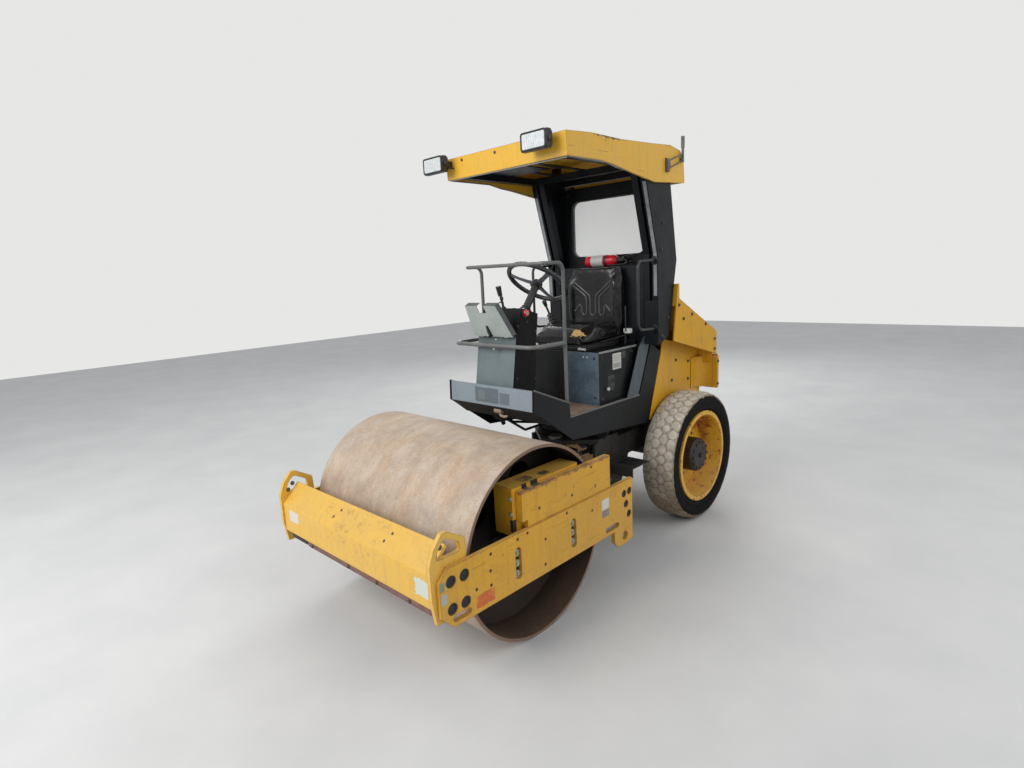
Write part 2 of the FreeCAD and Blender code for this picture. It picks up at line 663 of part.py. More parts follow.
def wheels():
    """Tyre, deep-dished rim and hub on each side."""
    for side, sign in SIDES:
        out = d.wheel_outer
        lip = d.rim_lip
        inside = out - d.tyre_width
        eye = d.planet_radius + d.running_gap
        well = d.rim_well
        seat = d.rim_seat
        rim = [(inside + 10, d.rim_radius), (inside + 10 + lip, d.rim_radius), (inside + 10 + lip, seat),
               (inside + 100, well), (out - 18, seat), (out - 18, d.rim_radius), (out - 6, d.rim_radius),
               (out - 6, seat - 10), (inside + 118, well - 12), (out - 150, d.disc_radius - 6),
               (out - 140, eye), (out - 152, eye), (out - 162, d.disc_radius), (inside + 10, seat - 10)]
        bead = seat + d.bead_gap
        tyre = [(inside + 10 + lip + d.bead_gap, bead), (inside + 10 + lip + d.bead_gap, d.rim_radius + 4),
                (inside + 6, d.rim_radius + 22), (inside, d.rim_radius + 70),
                (inside + 6, d.tyre_radius - 24), (inside + 26, d.tyre_radius - 4),
                (inside + 70, d.tyre_radius), (out - 70, d.tyre_radius), (out - 26, d.tyre_radius - 4),
                (out - 6, d.tyre_radius - 24), (out, d.rim_radius + 70), (out - 6, d.rim_radius + 22),
                (out - 18 - d.bead_gap, d.rim_radius + 4), (out - 18 - d.bead_gap, bead)]
        near = out - d.tyre_width - 18
        stub = d.stub_radius + d.running_gap
        hub = [(near, stub), (near, 92), (out - 152, 92), (out - 152, d.planet_radius),
               (out - 152 + d.planet_length - 22, d.planet_radius),
               (out - 152 + d.planet_length - 6, d.planet_radius - 12),
               (out - 152 + d.planet_length, d.planet_radius - 34), (out - 152 + d.planet_length, 1),
               (near + 100, 1), (near + 100, stub)]
        for label, outline in (("tyre", tyre), ("rim", rim), ("hub", hub)):
            outline = [(across * sign, radius) for across, radius in outline]
            turned(f"{label}_{side}", outline, axle_place, d.tyre_radius)


def counterweight():
    """Cast weight behind the rails with the tow jaw on it."""
    outline = [(d.weight_front, d.weight_bottom), (d.weight_rear - 60, d.weight_bottom),
               (d.weight_rear - 40, d.weight_bottom + 40), (d.weight_rear - 40, d.weight_top - 40),
               (d.weight_rear - 80, d.weight_top), (d.weight_front, d.weight_top)]
    rounds = [(14, outline[1:5])]
    block = plate("counterweight_block", "YZ", -d.weight_half, d.weight_half, outline, rounds=rounds,
                  final=False)
    jaws = []
    place = d.weight_rear - 40
    for number, height in enumerate((d.weight_bottom + 100, d.weight_bottom + 150)):
        outline = [(-45, place), (45, place), (30, d.weight_rear), (-30, d.weight_rear)]
        jaws.append(plate(f"hitch_jaw_{number}", "XY", height, height + 15, outline,
                          [(0, place + 20, 11)], final=False))
    back = box("hitch_back", (-45, place - 2, d.weight_bottom + 80), (45, place + 6, d.weight_bottom + 185))
    joined("counterweight", [block, *jaws, back])


def steps():
    """Step plates in front of the wheels."""
    pieces = []
    for side, sign in SIDES:
        start, end = span(sign, d.rail_side, d.step_out)
        low = d.step_height - 60
        outline = [(start, d.step_front), (end, d.step_front), (end, d.step_rear), (start, d.step_rear)]
        middle = (start + end) / 2
        hole = [(middle - 50, d.step_front + 50), (middle + 50, d.step_front + 50),
                (middle + 50, d.step_rear - 50), (middle - 50, d.step_rear - 50)]
        tread = plate(f"step_tread_{side}", "XY", d.step_height - d.step_wall, d.step_height, outline,
                      (), [hole], final=False)
        lip = box(f"step_rim_{side}", (start, d.step_front, low),
                  (end, d.step_front + d.step_wall, d.step_height))
        pieces += [tread, lip]
    joined("steps", pieces)


def engine():
    """The engine as one plain block on its mounts."""
    box_ = box("engine_core", (-d.engine_half, d.engine_front, d.engine_bottom),
               (d.engine_half, d.engine_rear, d.engine_top))
    feet = [box(f"engine_foot_{number}", (start, place, d.engine_bottom + 20), (end, place + 60, d.rail_top + 30))
            for number, (start, end, place) in enumerate((
                (d.engine_half, d.rail_side, 740), (-d.rail_side, -d.engine_half, 740),
                (d.engine_half, d.rail_side, 1060), (-d.rail_side, -d.engine_half, 1060)))]
    tools = [box(f"engine_notch_{number}", (start, 700, d.engine_bottom - 10), (end, 1200, d.rail_top))
             for number, (start, end) in enumerate(((d.rail_side - d.rail_wall, d.rail_side + 10),
                                                    (-d.rail_side - 10, -d.rail_side + d.rail_wall)))]
    whole = joined("engine_whole", [box_, *feet], False)
    cut("engine_block", whole, joined("engine_notches", tools, False))


# Platform

def platform():
    """Floor, apron and side panels of the operator's stand."""
    wall = d.deck_wall
    half = d.deck_half
    front = -d.apron_front
    back = d.sill_rear + 80
    floor = [(front + wall + 0.5, d.apron_bottom + 4), (-d.toe_place, d.deck_height), (back, d.deck_height),
             (back, d.deck_height - wall), (-d.toe_place - 2, d.deck_height - wall),
             (front + wall + 0.5, d.apron_bottom + 4 - wall * 1.25)]
    plate("floor_plate", "YZ", -half + wall, half - wall, floor)
    ledge = d.seat_bottom - 10
    rear = [(back, d.deck_height - wall), (back, ledge), (d.panel_place, ledge),
            (d.panel_place, ledge - wall), (back + wall, ledge - wall), (back + wall, d.deck_height - wall)]
    inside = half - wall - d.leg_wall - d.running_gap
    plate("bulkhead", "YZ", -inside, inside, rear)
    apron = [(front, d.apron_bottom), (front + 5, d.apron_top), (front + 5 + wall, d.apron_top),
             (front + wall, d.apron_bottom)]
    plate("apron", "YZ", -d.apron_half, d.apron_half, apron)
    side = [
        (front, d.apron_bottom), (-d.crease_place, d.crease_height), (d.skirt_rear, d.skirt_bottom),
        (d.skirt_rear + 150, d.panel_bottom), (d.sill_rear + 180, d.panel_bottom + 70),
        (d.sill_rear + 40, d.deck_height), (-d.sill_front, d.deck_height),
        (-d.sill_front, d.corner_height), (front + 5, d.apron_top)]
    pair = []
    for name, sign in SIDES:
        start, end = span(sign, half - wall, half)
        pair.append(plate(f"side_panel_{name}", "YZ", start, end, side, final=False))
    joined("side_panels", pair)


def seat():
    """Seat box, cushion and backrest."""
    case = [(d.seat_box_front, d.deck_height), (d.seat_box_rear - 25, d.deck_height),
            (d.seat_box_rear + 15, d.seat_box_top), (d.seat_box_front, d.seat_box_top)]
    case = plate("seat_case", "YZ", -d.seat_box_half, d.seat_box_half, case, final=False)
    stand = box("seat_stand", (-d.seat_half + 60, d.seat_front + 50, d.seat_box_top - 1),
                (d.seat_half - 60, d.seat_rear + d.back_wall - 40, d.seat_bottom - d.running_gap))
    joined("seat_box", [case, stand])
    outline = [(d.seat_front, d.seat_bottom), (d.seat_rear, d.seat_bottom),
               (d.seat_rear, d.seat_top - 20), (d.seat_front + 60, d.seat_top), (d.seat_front, d.seat_top - 30)]
    plate("seat_base", "YZ", -d.seat_half, d.seat_half, outline)
    back = [(-d.seat_half + 30, d.seat_bottom), (d.seat_half - 30, d.seat_bottom), (d.seat_half, d.seat_top),
            (d.seat_half - 10, d.back_top - 120), (d.seat_half - 55, d.back_top),
            (-d.seat_half + 55, d.back_top), (-d.seat_half + 10, d.back_top - 120),
            (-d.seat_half, d.seat_top)]
    plate("seat_back", "XZ", d.seat_rear + 2, d.seat_rear + d.back_wall, back, rounds=[(30, back[2:7])])


def tank():
    """Box behind the seat and the fire extinguisher that lies on it."""
    keep(box("tank_block", (-d.tank_half, d.tank_front, d.seat_box_top + 100),
             (d.tank_half, d.panel_place, d.tank_top)), "tank_box")
    place = d.tank_front + 50
    height = d.tank_top + d.bottle_radius
    bottle = rod("bottle", "x", d.bottle_radius, 250, (-140, place, height))
    neck = rod("bottle_neck", "x", 16, 34, (109, place, height))
    grip = rod("bottle_grip", "x", 24, 90, (142, place, height))
    joined("extinguisher", [bottle, neck, grip])


def console():
    """Console with its tilting lid, steering column and wheel, and travel lever."""
    front = -d.console_front
    top = d.console_top
    rise = (d.apron_bottom + 4 - d.deck_height) / (d.apron_front - d.deck_wall - 0.5 - d.toe_place)
    outline = [(front, d.deck_height + rise * (d.console_front - d.toe_place)), (front + 2, d.apron_top - 13),
               (front + 44, d.lid_height - 17), (front + 96, top + 18), (-d.console_rear, top - 20),
               (-d.console_rear - 26, top - 195), (-d.console_rear - 60, d.deck_height),
               (-d.toe_place, d.deck_height)]
    case = plate("console_case", "YZ", -d.console_half, d.console_half, outline, final=False)
    bar = rod("lid_bar", "x", d.lid_pin, 260, (-130, -d.lid_place, d.lid_height))
    ears = [box(f"lid_ear_{number}", (start, -d.lid_place - 6, d.lid_height - 14),
                (start + 12, front + 60, d.lid_height + 5)) for number, start in enumerate((-60, 48))]
    whole = joined("console_whole", [case, bar, *ears], False)
    lean = math.radians(float(d.lid_lean))
    along = Vector(0, -math.sin(lean), math.cos(lean))
    inward = Vector(0, math.cos(lean), math.sin(lean))
    hinge = Vector(0, -float(d.lid_place), float(d.lid_height))
    across = Vector(1, 0, 0)
    length = float(d.lid_length)
    sleeve = float(d.lid_pin) + float(d.running_gap)
    corners = [hinge - across * float(d.lid_low_half), hinge + across * float(d.lid_low_half),
               hinge + across * float(d.lid_high_half) + along * length,
               hinge - across * float(d.lid_high_half) + along * length]
    depth = float(d.lid_depth)
    wall = float(d.lid_wall)
    cover = Part.Face(Part.makePolygon([*corners, corners[0]])).extrude(inward * depth)
    inner = [hinge - across * (float(d.lid_low_half) - wall), hinge + across * (float(d.lid_low_half) - wall),
             hinge + across * (float(d.lid_high_half) - wall) + along * (length - wall),
             hinge - across * (float(d.lid_high_half) - wall) + along * (length - wall)]
    inner = [corner + inward * wall for corner in inner]
    inner[0] = inner[0] - along * 10
    inner[1] = inner[1] - along * 10
    hollow = Part.Face(Part.makePolygon([*inner, inner[0]])).extrude(inward * depth)
    notch = Part.makeBox(56, 60, 120)
    notch.translate(Vector(-28, -20, 0))
    notch.rotate(Vector(0, 0, 0), Vector(1, 0, 0), math.degrees(lean))
    notch.translate(hinge + along * (length - 45))
    cover = cover.cut(hollow).cut(notch)
    cover.translate(-inward * 14)
    knuckles = []
    for start in (-112, 76):
        knuckle = Part.makeCylinder(sleeve + 5, 36, hinge + across * start, across)
        tongue = Part.makeBox(36, 12, 26, Vector(start, -14, -4))
        tongue.rotate(Vector(), across, float(d.lid_lean))
        tongue.translate(hinge)
        knuckles += [knuckle, tongue]
    opening = Part.makeCylinder(sleeve, 320, hinge - across * 160, across)
    shaped("instrument_lid", cover.fuse(knuckles).cut(opening))
    tilt = math.radians(float(d.column_lean))
    centre = Vector(0, -float(d.wheel_place), float(d.wheel_height))
    axis = Vector(0, math.sin(tilt), math.cos(tilt))
    foot = centre - axis * 320
    column = Part.makeCylinder(float(d.column_radius), 288, foot, axis)
    core = Part.makeCylinder(10, 300, foot, axis)
    shaped("steering_column", column.fuse(core))
    socket = Part.makeCylinder(float(d.column_radius) + 0.2, 290, foot - axis * 0.2, axis)
    cut("console", whole, shaped("console_socket", socket, False))
    reach = float(d.wheel_ring) - float(d.wheel_grip)
    wheel = Part.makeCylinder(34, 34, Vector(0, 0, -31))
    for turn in (90, 210, 330):
        spoke = Part.makeBox(reach - 10, 26, 9, Vector(10, -13, -14))
        spoke.rotate(Vector(), Vector(0, 0, 1), turn)
        wheel = wheel.fuse(spoke)
    wheel = wheel.fuse(Part.makeTorus(reach, float(d.wheel_grip)))
    wheel = wheel.cut(Part.makeCylinder(10.3, 24, Vector(0, 0, -32)))
    wheel.Placement = Placement(centre, Rotation(Vector(0, 0, 1), axis))
    shaped("steering_wheel", wheel)
    drop = (38 / (float(d.console_front - d.console_rear) - 96))
    upright = Vector(0, drop, 1).normalize()
    lever_base = Vector(-60, -float(d.console_rear) - 60, float(d.console_top) - 20 + 60 * drop) + upright * 0.3
    boot = Part.makeCone(22, 10, 24, lever_base, upright)
    lever = Part.makeCylinder(7, 80, lever_base + upright * 12, Vector(0, -0.25, 1))
    knob = Part.makeCone(12, 16, 55, lever_base + Vector(0, -18, 84), Vector(0, -0.25, 1))
    shaped("travel_lever", boot.fuse([lever, knob]))


def side_lever():
    """Drive lever in a rubber bellows on a small box beside the seat."""
    side = -d.boot_side
    low = d.seat_box_top
    base = box("lever_box", (side - 40, d.boot_place - 85, low + 0.3), (side + 40, d.boot_place + 65, low + 62))
    outline = [(0, 0), (38, 0), (38, 14)]
    for fold in range(7):
        wide = 37 - fold * 2.4
        outline += [(wide - 9, 18 + fold * 22), (wide, 29 + fold * 22)]
    outline += [(11, 172), (7, 176), (7, 232), (11, 234), (15, 268), (11, 276), (0, 276)]
    face = Part.Face(Part.makePolygon([Vector(radius, 0, height) for radius, height in outline + outline[:1]]))
    lever = face.revolve(Vector(), Vector(0, 0, 1), 360)
    foot = Vector(float(side), float(d.boot_place), float(low) + 50)
    lever.Placement = Placement(foot, Rotation(Vector(1, 0, 0), 30))
    joined("side_lever", [base, shaped("lever_boot", lever, False)])


def hydraulics():
    """Valve block on the chassis with its fittings, and hoses up to the brake valve under the floor."""
    top = float(d.rail_top) + float(d.ear_wall)
    under = float(d.deck_height) - float(d.deck_wall)
    block = Part.makeBox(300, 60, 62, Vector(-200, 112, top + 0.3))
    pieces = []
    for number in range(6):
        across = -176 + 50 * number
        pieces.append(Part.makeCylinder(11, 34, Vector(across, 114, top + 40), Vector(0, -1, 0.25)))
        pieces.append(Part.makeCylinder(15, 12, Vector(across, 106, top + 42), Vector(0, -1, 0.25)))
    valve = Part.makeCylinder(27, 62, Vector(-200, -305, under - 32), Vector(1, 0, 0))
    seat = Part.makeBox(62, 40, 31, Vector(-200, -325, under - 31.3))
    neck = Part.makeCylinder(13, 42, Vector(-160, -305, under - 52), Vector(0, 0.4, -0.9))
    routes = (
        ((-176, 96, top + 46), (-176, 20, top + 66), (-214, -150, top + 100), (-190, -292, under - 40)),
        ((-126, 96, top + 46), (-126, 30, top + 60), (-96, -170, top + 70), (-152, -300, under - 44)),
        ((-76, 96, top + 46), (-76, 30, top + 66), (60, -60, top + 120), (60, 60, top + 150),
         (60, 200, top + 150)),
        ((-26, 96, top + 46), (-26, 40, top + 60), (110, -20, top + 90), (120, 120, top + 120),
         (120, 230, top + 120)),
    )
    hoses = [tube_along(route, 8, 26) for route in routes]
    shaped("hydraulic_hoses", block.fuse([*pieces, valve, seat, neck, *hoses]))


def handrails():
    """Front rail with a lower guard bar, and a grab handle in front of each post."""
    side = d.deck_half - d.deck_wall - d.rail_tube - d.running_gap
    foot = d.deck_height
    place = -d.post_place
    route = [(side, place, foot), (side, place, d.top_rail), (side, -d.top_reach, d.top_rail),
             (-side, -d.top_reach, d.top_rail), (-side, place, d.top_rail), (-side, place, foot)]
    shaped("handrail_upper", tube_along(route, float(d.rail_tube), 45))
    start = -d.post_place - d.rail_tube - 0.3
    route = [(side, start, d.low_rail), (side, -d.low_reach, d.low_rail),
             (-side, -d.low_reach, d.low_rail), (-side, start, d.low_rail)]
    shaped("handrail_lower", tube_along(route, float(d.rail_tube) - 1, 60))
    low = d.seat_box_top
    handles = []
    for _, sign in SIDES:
        across = d.grab_side * sign
        route = [(across, 498, low + 515), (across, d.grab_place, low + 510), (across, d.grab_place, low + 110),
                 (across, 503.6, low + 100)]
        handles.append(tube_along(route, float(d.grab_tube), 40))
    shaped("grab_handles", Part.makeCompound(handles))


# Roll-over frame and canopy

def rops():
    """Two leaning posts, each a deep skin, a web and a tube, and the panel between them with its window."""
    low = d.seat_box_top
    waist = low + 100
    bend = low + 550
    inset = d.web_inset
    depth = d.tube_depth
    skin = [(505, low), (505, low + 90), (498, bend), (360, d.post_top), (640, d.post_top),
            (725, low + 510), (685, low + 325), (635, low + 40)]
    web = [(505 + inset, low + 10), (505 + inset, low + 90), (498 + inset, bend), (360 + inset, d.post_top),
           (640, d.post_top), (705, low + 510), (665, low + 325), (615, low + 40)]
    tube = [(505, waist - 10), (498, bend), (360, d.post_top), (360 + depth, d.post_top),
            (498 + depth, bend), (505 + depth, waist - 10)]
    leg = [(437, d.deck_height + 5), (505, low), (505, waist), (620, waist), (620, low), (550, d.deck_height + 5)]
    leg_out = d.deck_half - d.deck_wall
    skin_in = d.post_out - d.post_wall
    web_in = skin_in - d.web_wall
    parts = (("skin", skin_in, d.post_out, skin), ("web", web_in, skin_in, web),
             ("tube", leg_out + 3, web_in, tube), ("leg", leg_out - d.leg_wall, leg_out, leg))
    pieces = []
    for name, sign in SIDES:
        for part, inner, outer, outline in parts:
            start, end = span(sign, inner, outer)
            pieces.append(plate(f"post_{part}_{name}", "YZ", start, end, outline, final=False))
        start, end = span(sign, leg_out - d.leg_wall, skin_in)
        pieces.append(box(f"post_tie_{name}", (start, 505, low), (end, 620, waist)))
    joined("posts", pieces)
    half = web_in - 0.3
    window = [(-d.window_half, d.window_low), (d.window_half, d.window_low),
              (d.window_half, d.window_high), (-d.window_half, d.window_high)]
    foot = d.panel_bottom + 190
    outline = [(-half, foot), (half, foot), (half, d.panel_top), (-half, d.panel_top)]
    plate("rear_panel", "XZ", d.panel_place, d.panel_place + d.panel_wall, outline, (), [window],
          [(d.window_round, window)])
    plate("window_glass", "XZ", d.panel_place + 7, d.panel_place + 7 + d.glass_wall, window,
          rounds=[(d.window_round, window)])


def canopy():
    """Folded roof, deep at the sides and open below, with the ladder that carries it."""
    top = d.post_top
    front = -d.canopy_front
    outline = [(front, top + 105), (front + 10, top - 10), (-87, top - 8), (2, top - 15), (291, top - 58),
               (451, top - 80), (793, top - 62), (780, top + 74), (740, top + 122), (623, top + 142),
               (399, top + 129), (98, top + 116), (-167, top + 118)]
    body = plate("canopy", "YZ", -d.canopy_half, d.canopy_half, outline, rounds=[(24, outline[7:9])], final=False)
    wall = d.canopy_wall
    ceiling = [(front + wall, top + 92), (-167, top + 105), (98, top + 103), (399, top + 116),
               (623, top + 129), (735, top + 110), (768, top + 69)]
    inner = [(front + wall + 10, top - 136), *ceiling, (781, top - 136)]
    hollow = sketch(body, "canopy_inside", "YZ", -d.canopy_half + wall, inner)
    pocket = body.newObject("PartDesign::Pocket", "canopy_pocket")
    pocket.Profile = hollow
    pocket.Reversed = True
    pocket.Type = "Length"
    pocket.Length = float((d.canopy_half - wall) * 2)
    bind(pocket, "Length", (d.canopy_half - wall) * 2)
    body.Tip = pocket
    keep(body, "canopy")
    high = top + 40
    side = [(-340, top), (740, top), (740, high)]
    for place in (560, 100, -320):
        side += [(place + 40, high), (place + 40, height_at(ceiling, place + 40)),
                 (place, height_at(ceiling, place)), (place, high)]
    side.append((-340, high))
    rails = []
    for name, sign in SIDES:
        start, end = span(sign, d.post_out - 60, d.post_out - 10)
        rails.append(plate(f"roof_rail_{name}", "YZ", start, end, side, final=False))
    half = d.post_out - 20
    for number, place in enumerate((-340, 330, 600)):
        rails.append(box(f"roof_cross_{number}", (-half, place, d.post_top), (half, place + 40, d.post_top + 40)))
    joined("roof_frame", rails)


def lamps():
    """Two work lamps on the canopy's front, one near its middle and one at its corner."""
    front = -d.canopy_front
    height = d.lamp_height
    fascia = [(d.post_top - 10, front + 10), (d.post_top + 105, front)]
    back = front - 33
    pieces = []
    for name, middle, foot in (("near", d.lamp_near, d.lamp_near), ("far", -d.lamp_far, -d.canopy_half + 36)):
        case = [(back - d.lamp_depth, height - d.lamp_high / 2), (back - 12, height - d.lamp_high / 2),
                (back, height - d.lamp_high / 2 + 14), (back, height + d.lamp_high / 2 - 14),
                (back - 12, height + d.lamp_high / 2), (back - d.lamp_depth, height + d.lamp_high / 2)]
        pieces.append(plate(f"lamp_case_{name}", "YZ", middle - d.lamp_width / 2, middle + d.lamp_width / 2,
                            case, rounds=[(6, case)], final=False))
        stem = [(back - 6, height - 16), (back - 6, height + 16), (height_at(fascia, height + 16), height + 16),
                (height_at(fascia, height - 16), height - 16)]
        pieces.append(plate(f"lamp_stem_{name}", "YZ", foot - 20, foot + 20, stem, final=False))
    joined("work_lamps", pieces)


def beacon():
    """Spigot for a beacon on the canopy's left side, with its block and two stays."""
    side = d.canopy_half
    high = d.post_top + 54
    neck = rod("spigot_neck", "z", d.spigot_radius - 3, 90, (side + 14, 745, high))
    spigot = rod("spigot_bar", "z", d.spigot_radius, 68, (side + 14, 745, high + 82))
    arm = box("spigot_arm", (side, 730, high + 2), (side + 14, 760, high + 26))
    outline = [(side, high - 70), (side + 16, high - 66), (side + 20, high - 20), (side + 12, high + 8),
               (side, high + 10)]
    block = plate("spigot_block", "XZ", 560, 590, outline, final=False)
    stays = []
    for number, (start, end) in enumerate(((high - 8, high + 46), (high - 52, high + 8))):
        foot = Vector(float(side) + 12, 575, float(start))
        heading = Vector(0, 167, float(end) - float(start))
        path = Part.makePolygon([foot, foot + heading])
        ring = Part.Wire(Part.makeCircle(4, foot, heading))
        stays.append(shaped(f"spigot_stay_{number}", path.makePipeShell([ring], True, False), False))
    joined("beacon_spigot", [neck, spigot, arm, block, *stays])


# Hood and rear body

def hood():
    """Sloping engine hood that hinges at the back, and the fixed body under it."""
    half = d.hood_half
    wall = d.hood_wall
    rear = d.hood_rear
    shell = [(d.hood_front - 50, d.hood_side_front), (d.hood_front, d.fin_top), (d.hood_front + 20, d.fin_top),
             (d.hood_front + 22, d.hood_high), (rear - 14, d.hood_low), (rear - 2, d.hood_low - 17),
             (rear, d.hood_side_rear)]
    body = plate("hood", "YZ", -half, half, shell, final=False)
    inner = [(d.hood_front - 60, d.hood_side_front - 20), (d.hood_front - 40, d.hood_high - 60),
             (d.hood_front + 22, d.hood_high - 20), (rear - 22, d.hood_low - wall * 2),
             (rear - 2 - wall, d.hood_low - 24 - wall), (rear - wall, d.hood_side_rear - 20)]
    hollow = sketch(body, "hood_inside", "YZ", -half + wall, inner)
    pocket = body.newObject("PartDesign::Pocket", "hood_pocket")
    pocket.Profile = hollow
    pocket.Reversed = True
    pocket.Type = "Length"
    pocket.Length = float((half - wall) * 2)
    bind(pocket, "Length", (half - wall) * 2)
    body.Tip = pocket
    pin_place = rear - d.hinge_inset
    pin_height = d.hood_side_rear + d.hinge_lift
    ears = []
    notches = []
    for number, sign in enumerate((1, -1)):
        start, end = span(sign, d.hinge_side - 30, d.hinge_side - 10)
        ears.append(plate(f"hood_ear_{number}", "YZ", start, end,
                          [(pin_place - 14, pin_height - 10), (pin_place + 8, pin_height - 10),
                           (rear - 4, pin_height + 40), (rear - 6, pin_height + 90),
                           (pin_place - 14, pin_height + 60)],
                          [(pin_place, pin_height, d.hinge_pin + d.running_gap)], final=False))
        start, end = span(sign, d.hinge_side - 8, d.hinge_side + 24)
        notches.append(box(f"hood_notch_{number}", (start, rear - 20, d.hood_side_rear - 10),
                           (end, rear + 20, d.hood_side_rear + 50)))
    whole = joined("hood_whole", [body, *ears], False)
    cut("hood", whole, joined("hood_notches", notches, False))
    seam = d.tail_front + d.hood_wall
    brim = d.hood_side_rear - 16
    side = [(d.skirt_rear + 6, d.skirt_bottom + 12), (d.skirt_rear + 155, d.hood_side_front - 93),
            (d.skirt_rear + 175, d.hood_side_front + 4), (seam - 27, brim + 60), (seam - 27, brim),
            (seam, brim), (seam, d.skirt_bottom + 12)]
    pair = []
    for name, sign in SIDES:
        start, end = span(sign, d.recess_half - 6, d.recess_half)
        pair.append(plate(f"body_side_{name}", "YZ", start, end, side, final=False))
        start, end = span(sign, d.recess_half, half - wall - 6)
        pair.append(box(f"body_return_{name}", (start, seam - 33, brim - 40), (end, seam - 27, brim + 52)))
        back = d.tail_front - 0.3
        bend = [(d.recess_half, back - 130), (d.recess_half + 5, back - 130), (d.recess_half + 5, back - 5),
                (half - 14, back - 5), (half - 14, back), (d.recess_half, back)]
        bend = [(across * sign, place) for across, place in bend]
        pair.append(plate(f"body_curve_{name}", "XY", d.tail_bottom + 5, brim, bend,
                          rounds=[(90, bend[2:3]), (95, bend[5:6])], final=False))
    joined("body_sides", pair)
    rear_half = d.tail_half
    slim = d.tail_narrow
    bend = d.tail_front + 25
    end = d.tail_rear
    tail = plate("tail_outer", "XY", d.tail_bottom, brim,
                 [(-rear_half, d.tail_front), (rear_half, d.tail_front), (rear_half, bend), (slim, end),
                  (-slim, end), (-rear_half, bend)], final=False)
    core = plate("tail_inner", "XY", d.tail_bottom - 10, d.hood_side_rear + 10,
                 [(-rear_half + wall, seam), (rear_half - wall, seam), (rear_half - wall, bend),
                  (slim - wall, end - wall), (-slim + wall, end - wall), (-rear_half + wall, bend)], final=False)
    bay = box("tail_bay", (-d.recess_half, d.tail_front - 10, d.tail_bottom - 10),
              (d.recess_half, seam + 10, d.hood_side_rear + 10))
    grille_hole = box("tail_hole", (-d.recess_half + 60, d.tail_rear - 20, d.tail_bottom + 40),
                      (d.recess_half - 60, d.tail_rear + 10, d.hood_side_rear - 60))
    shell = cut("tail_shell", tail, core, False)
    shell = cut("tail_front_wall", shell, bay, False)
    shell = cut("tail_frame", shell, grille_hole, False)
    reach = d.hinge_side + 16
    bar = rod("hood_bar", "x", d.hinge_pin, reach * 2, (-reach, pin_place, pin_height))
    outline = [(pin_place - 10, d.tail_bottom + 60), (pin_place - 10, pin_height + 8),
               (pin_place + 8, pin_height + 8), (pin_place + 32, pin_height - 34),
               (d.tail_rear - 4, pin_height - 34), (d.tail_rear - 4, d.tail_bottom + 60)]
    brackets = []
    for number, sign in enumerate((1, -1)):
        start, end = span(sign, d.hinge_side, reach)
        brackets.append(plate(f"hood_bracket_{number}", "YZ", start, end, outline, final=False))
    slats = []
    low = d.tail_bottom + 40
    pitch = (d.hood_side_rear - 60 - low) / (d.grille_bars + 1)
    for number in range(int(float(d.grille_bars))):
        height = low + pitch * (number + 1)
        slats.append(box(f"tail_slat_{number}", (-d.recess_half + 56, d.tail_rear - 7, height - 4),
                         (d.recess_half - 56, d.tail_rear - 2, height + 4)))
    joined("rear_body", [shell, bar, *brackets, *slats])


def check_and_write():
    """Stop on any failed object, then write each sub-part."""
    doc.recompute()
    for thing in doc.Objects:
        if "Invalid" in thing.State or "Error" in thing.State:
            raise RuntimeError(f"{thing.Label} failed: {thing.State}")
    os.makedirs("parts", exist_ok=True)
    for thing in nodes:
        shape = thing.Shape
        if shape.isNull() or not shape.isValid() or not shape.Solids:
            raise RuntimeError(f"{thing.Label} has no valid solid")
        shape.exportStep(f"parts/{thing.Label}.step")
        print(f"{thing.Label} {len(shape.Solids)} solids {shape.Volume / 1e6:.2f} litres")


for build in (side_plates, end_plates, front_beam, scrapers, rear_beam, side_boxes, carriers, drum,
              articulation, chassis, rear_axle, wheels, counterweight, steps, engine,
              platform, seat, tank, console, side_lever, hydraulics, handrails, rops, canopy, lamps, beacon,
              hood):
    build()
check_and_write()
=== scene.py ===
import math
import random

import bmesh
import bpy
from mathutils import Matrix, Vector
from mathutils.bvhtree import BVHTree


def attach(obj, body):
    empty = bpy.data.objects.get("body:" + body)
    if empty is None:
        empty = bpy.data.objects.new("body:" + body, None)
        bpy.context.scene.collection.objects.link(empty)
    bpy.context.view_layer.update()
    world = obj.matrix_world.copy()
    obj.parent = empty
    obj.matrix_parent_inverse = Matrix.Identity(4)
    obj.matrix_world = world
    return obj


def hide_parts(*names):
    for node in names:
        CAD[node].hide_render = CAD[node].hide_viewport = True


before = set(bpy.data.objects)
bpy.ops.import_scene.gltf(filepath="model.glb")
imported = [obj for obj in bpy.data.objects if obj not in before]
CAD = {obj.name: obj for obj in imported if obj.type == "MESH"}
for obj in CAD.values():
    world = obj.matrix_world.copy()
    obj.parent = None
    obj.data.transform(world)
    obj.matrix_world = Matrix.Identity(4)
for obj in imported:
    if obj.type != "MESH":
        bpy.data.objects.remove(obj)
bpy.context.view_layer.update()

DRUM_Y, DRUM_R = -0.845, 0.457
AXLE_Y, TYRE_R = 0.845, 0.425
TREAD_X, TREAD_HALF, SHOULDER = 0.457, 0.108, 0.043
FRAME_X = 0.648
UP = Vector((0, 0, 1))
X = Vector((1, 0, 0))
Y = Vector((0, 1, 0))
SIDES = (("left", 1), ("right", -1))
WHEEL_CENTRE = Vector((0, -0.110, 1.620))
WHEEL_AXIS = Vector((0, 0.601815, 0.798636))
RAIL_X, RAIL_Y, RAIL_R = 0.3117, -0.258, 0.0100


# Camera, light and floor

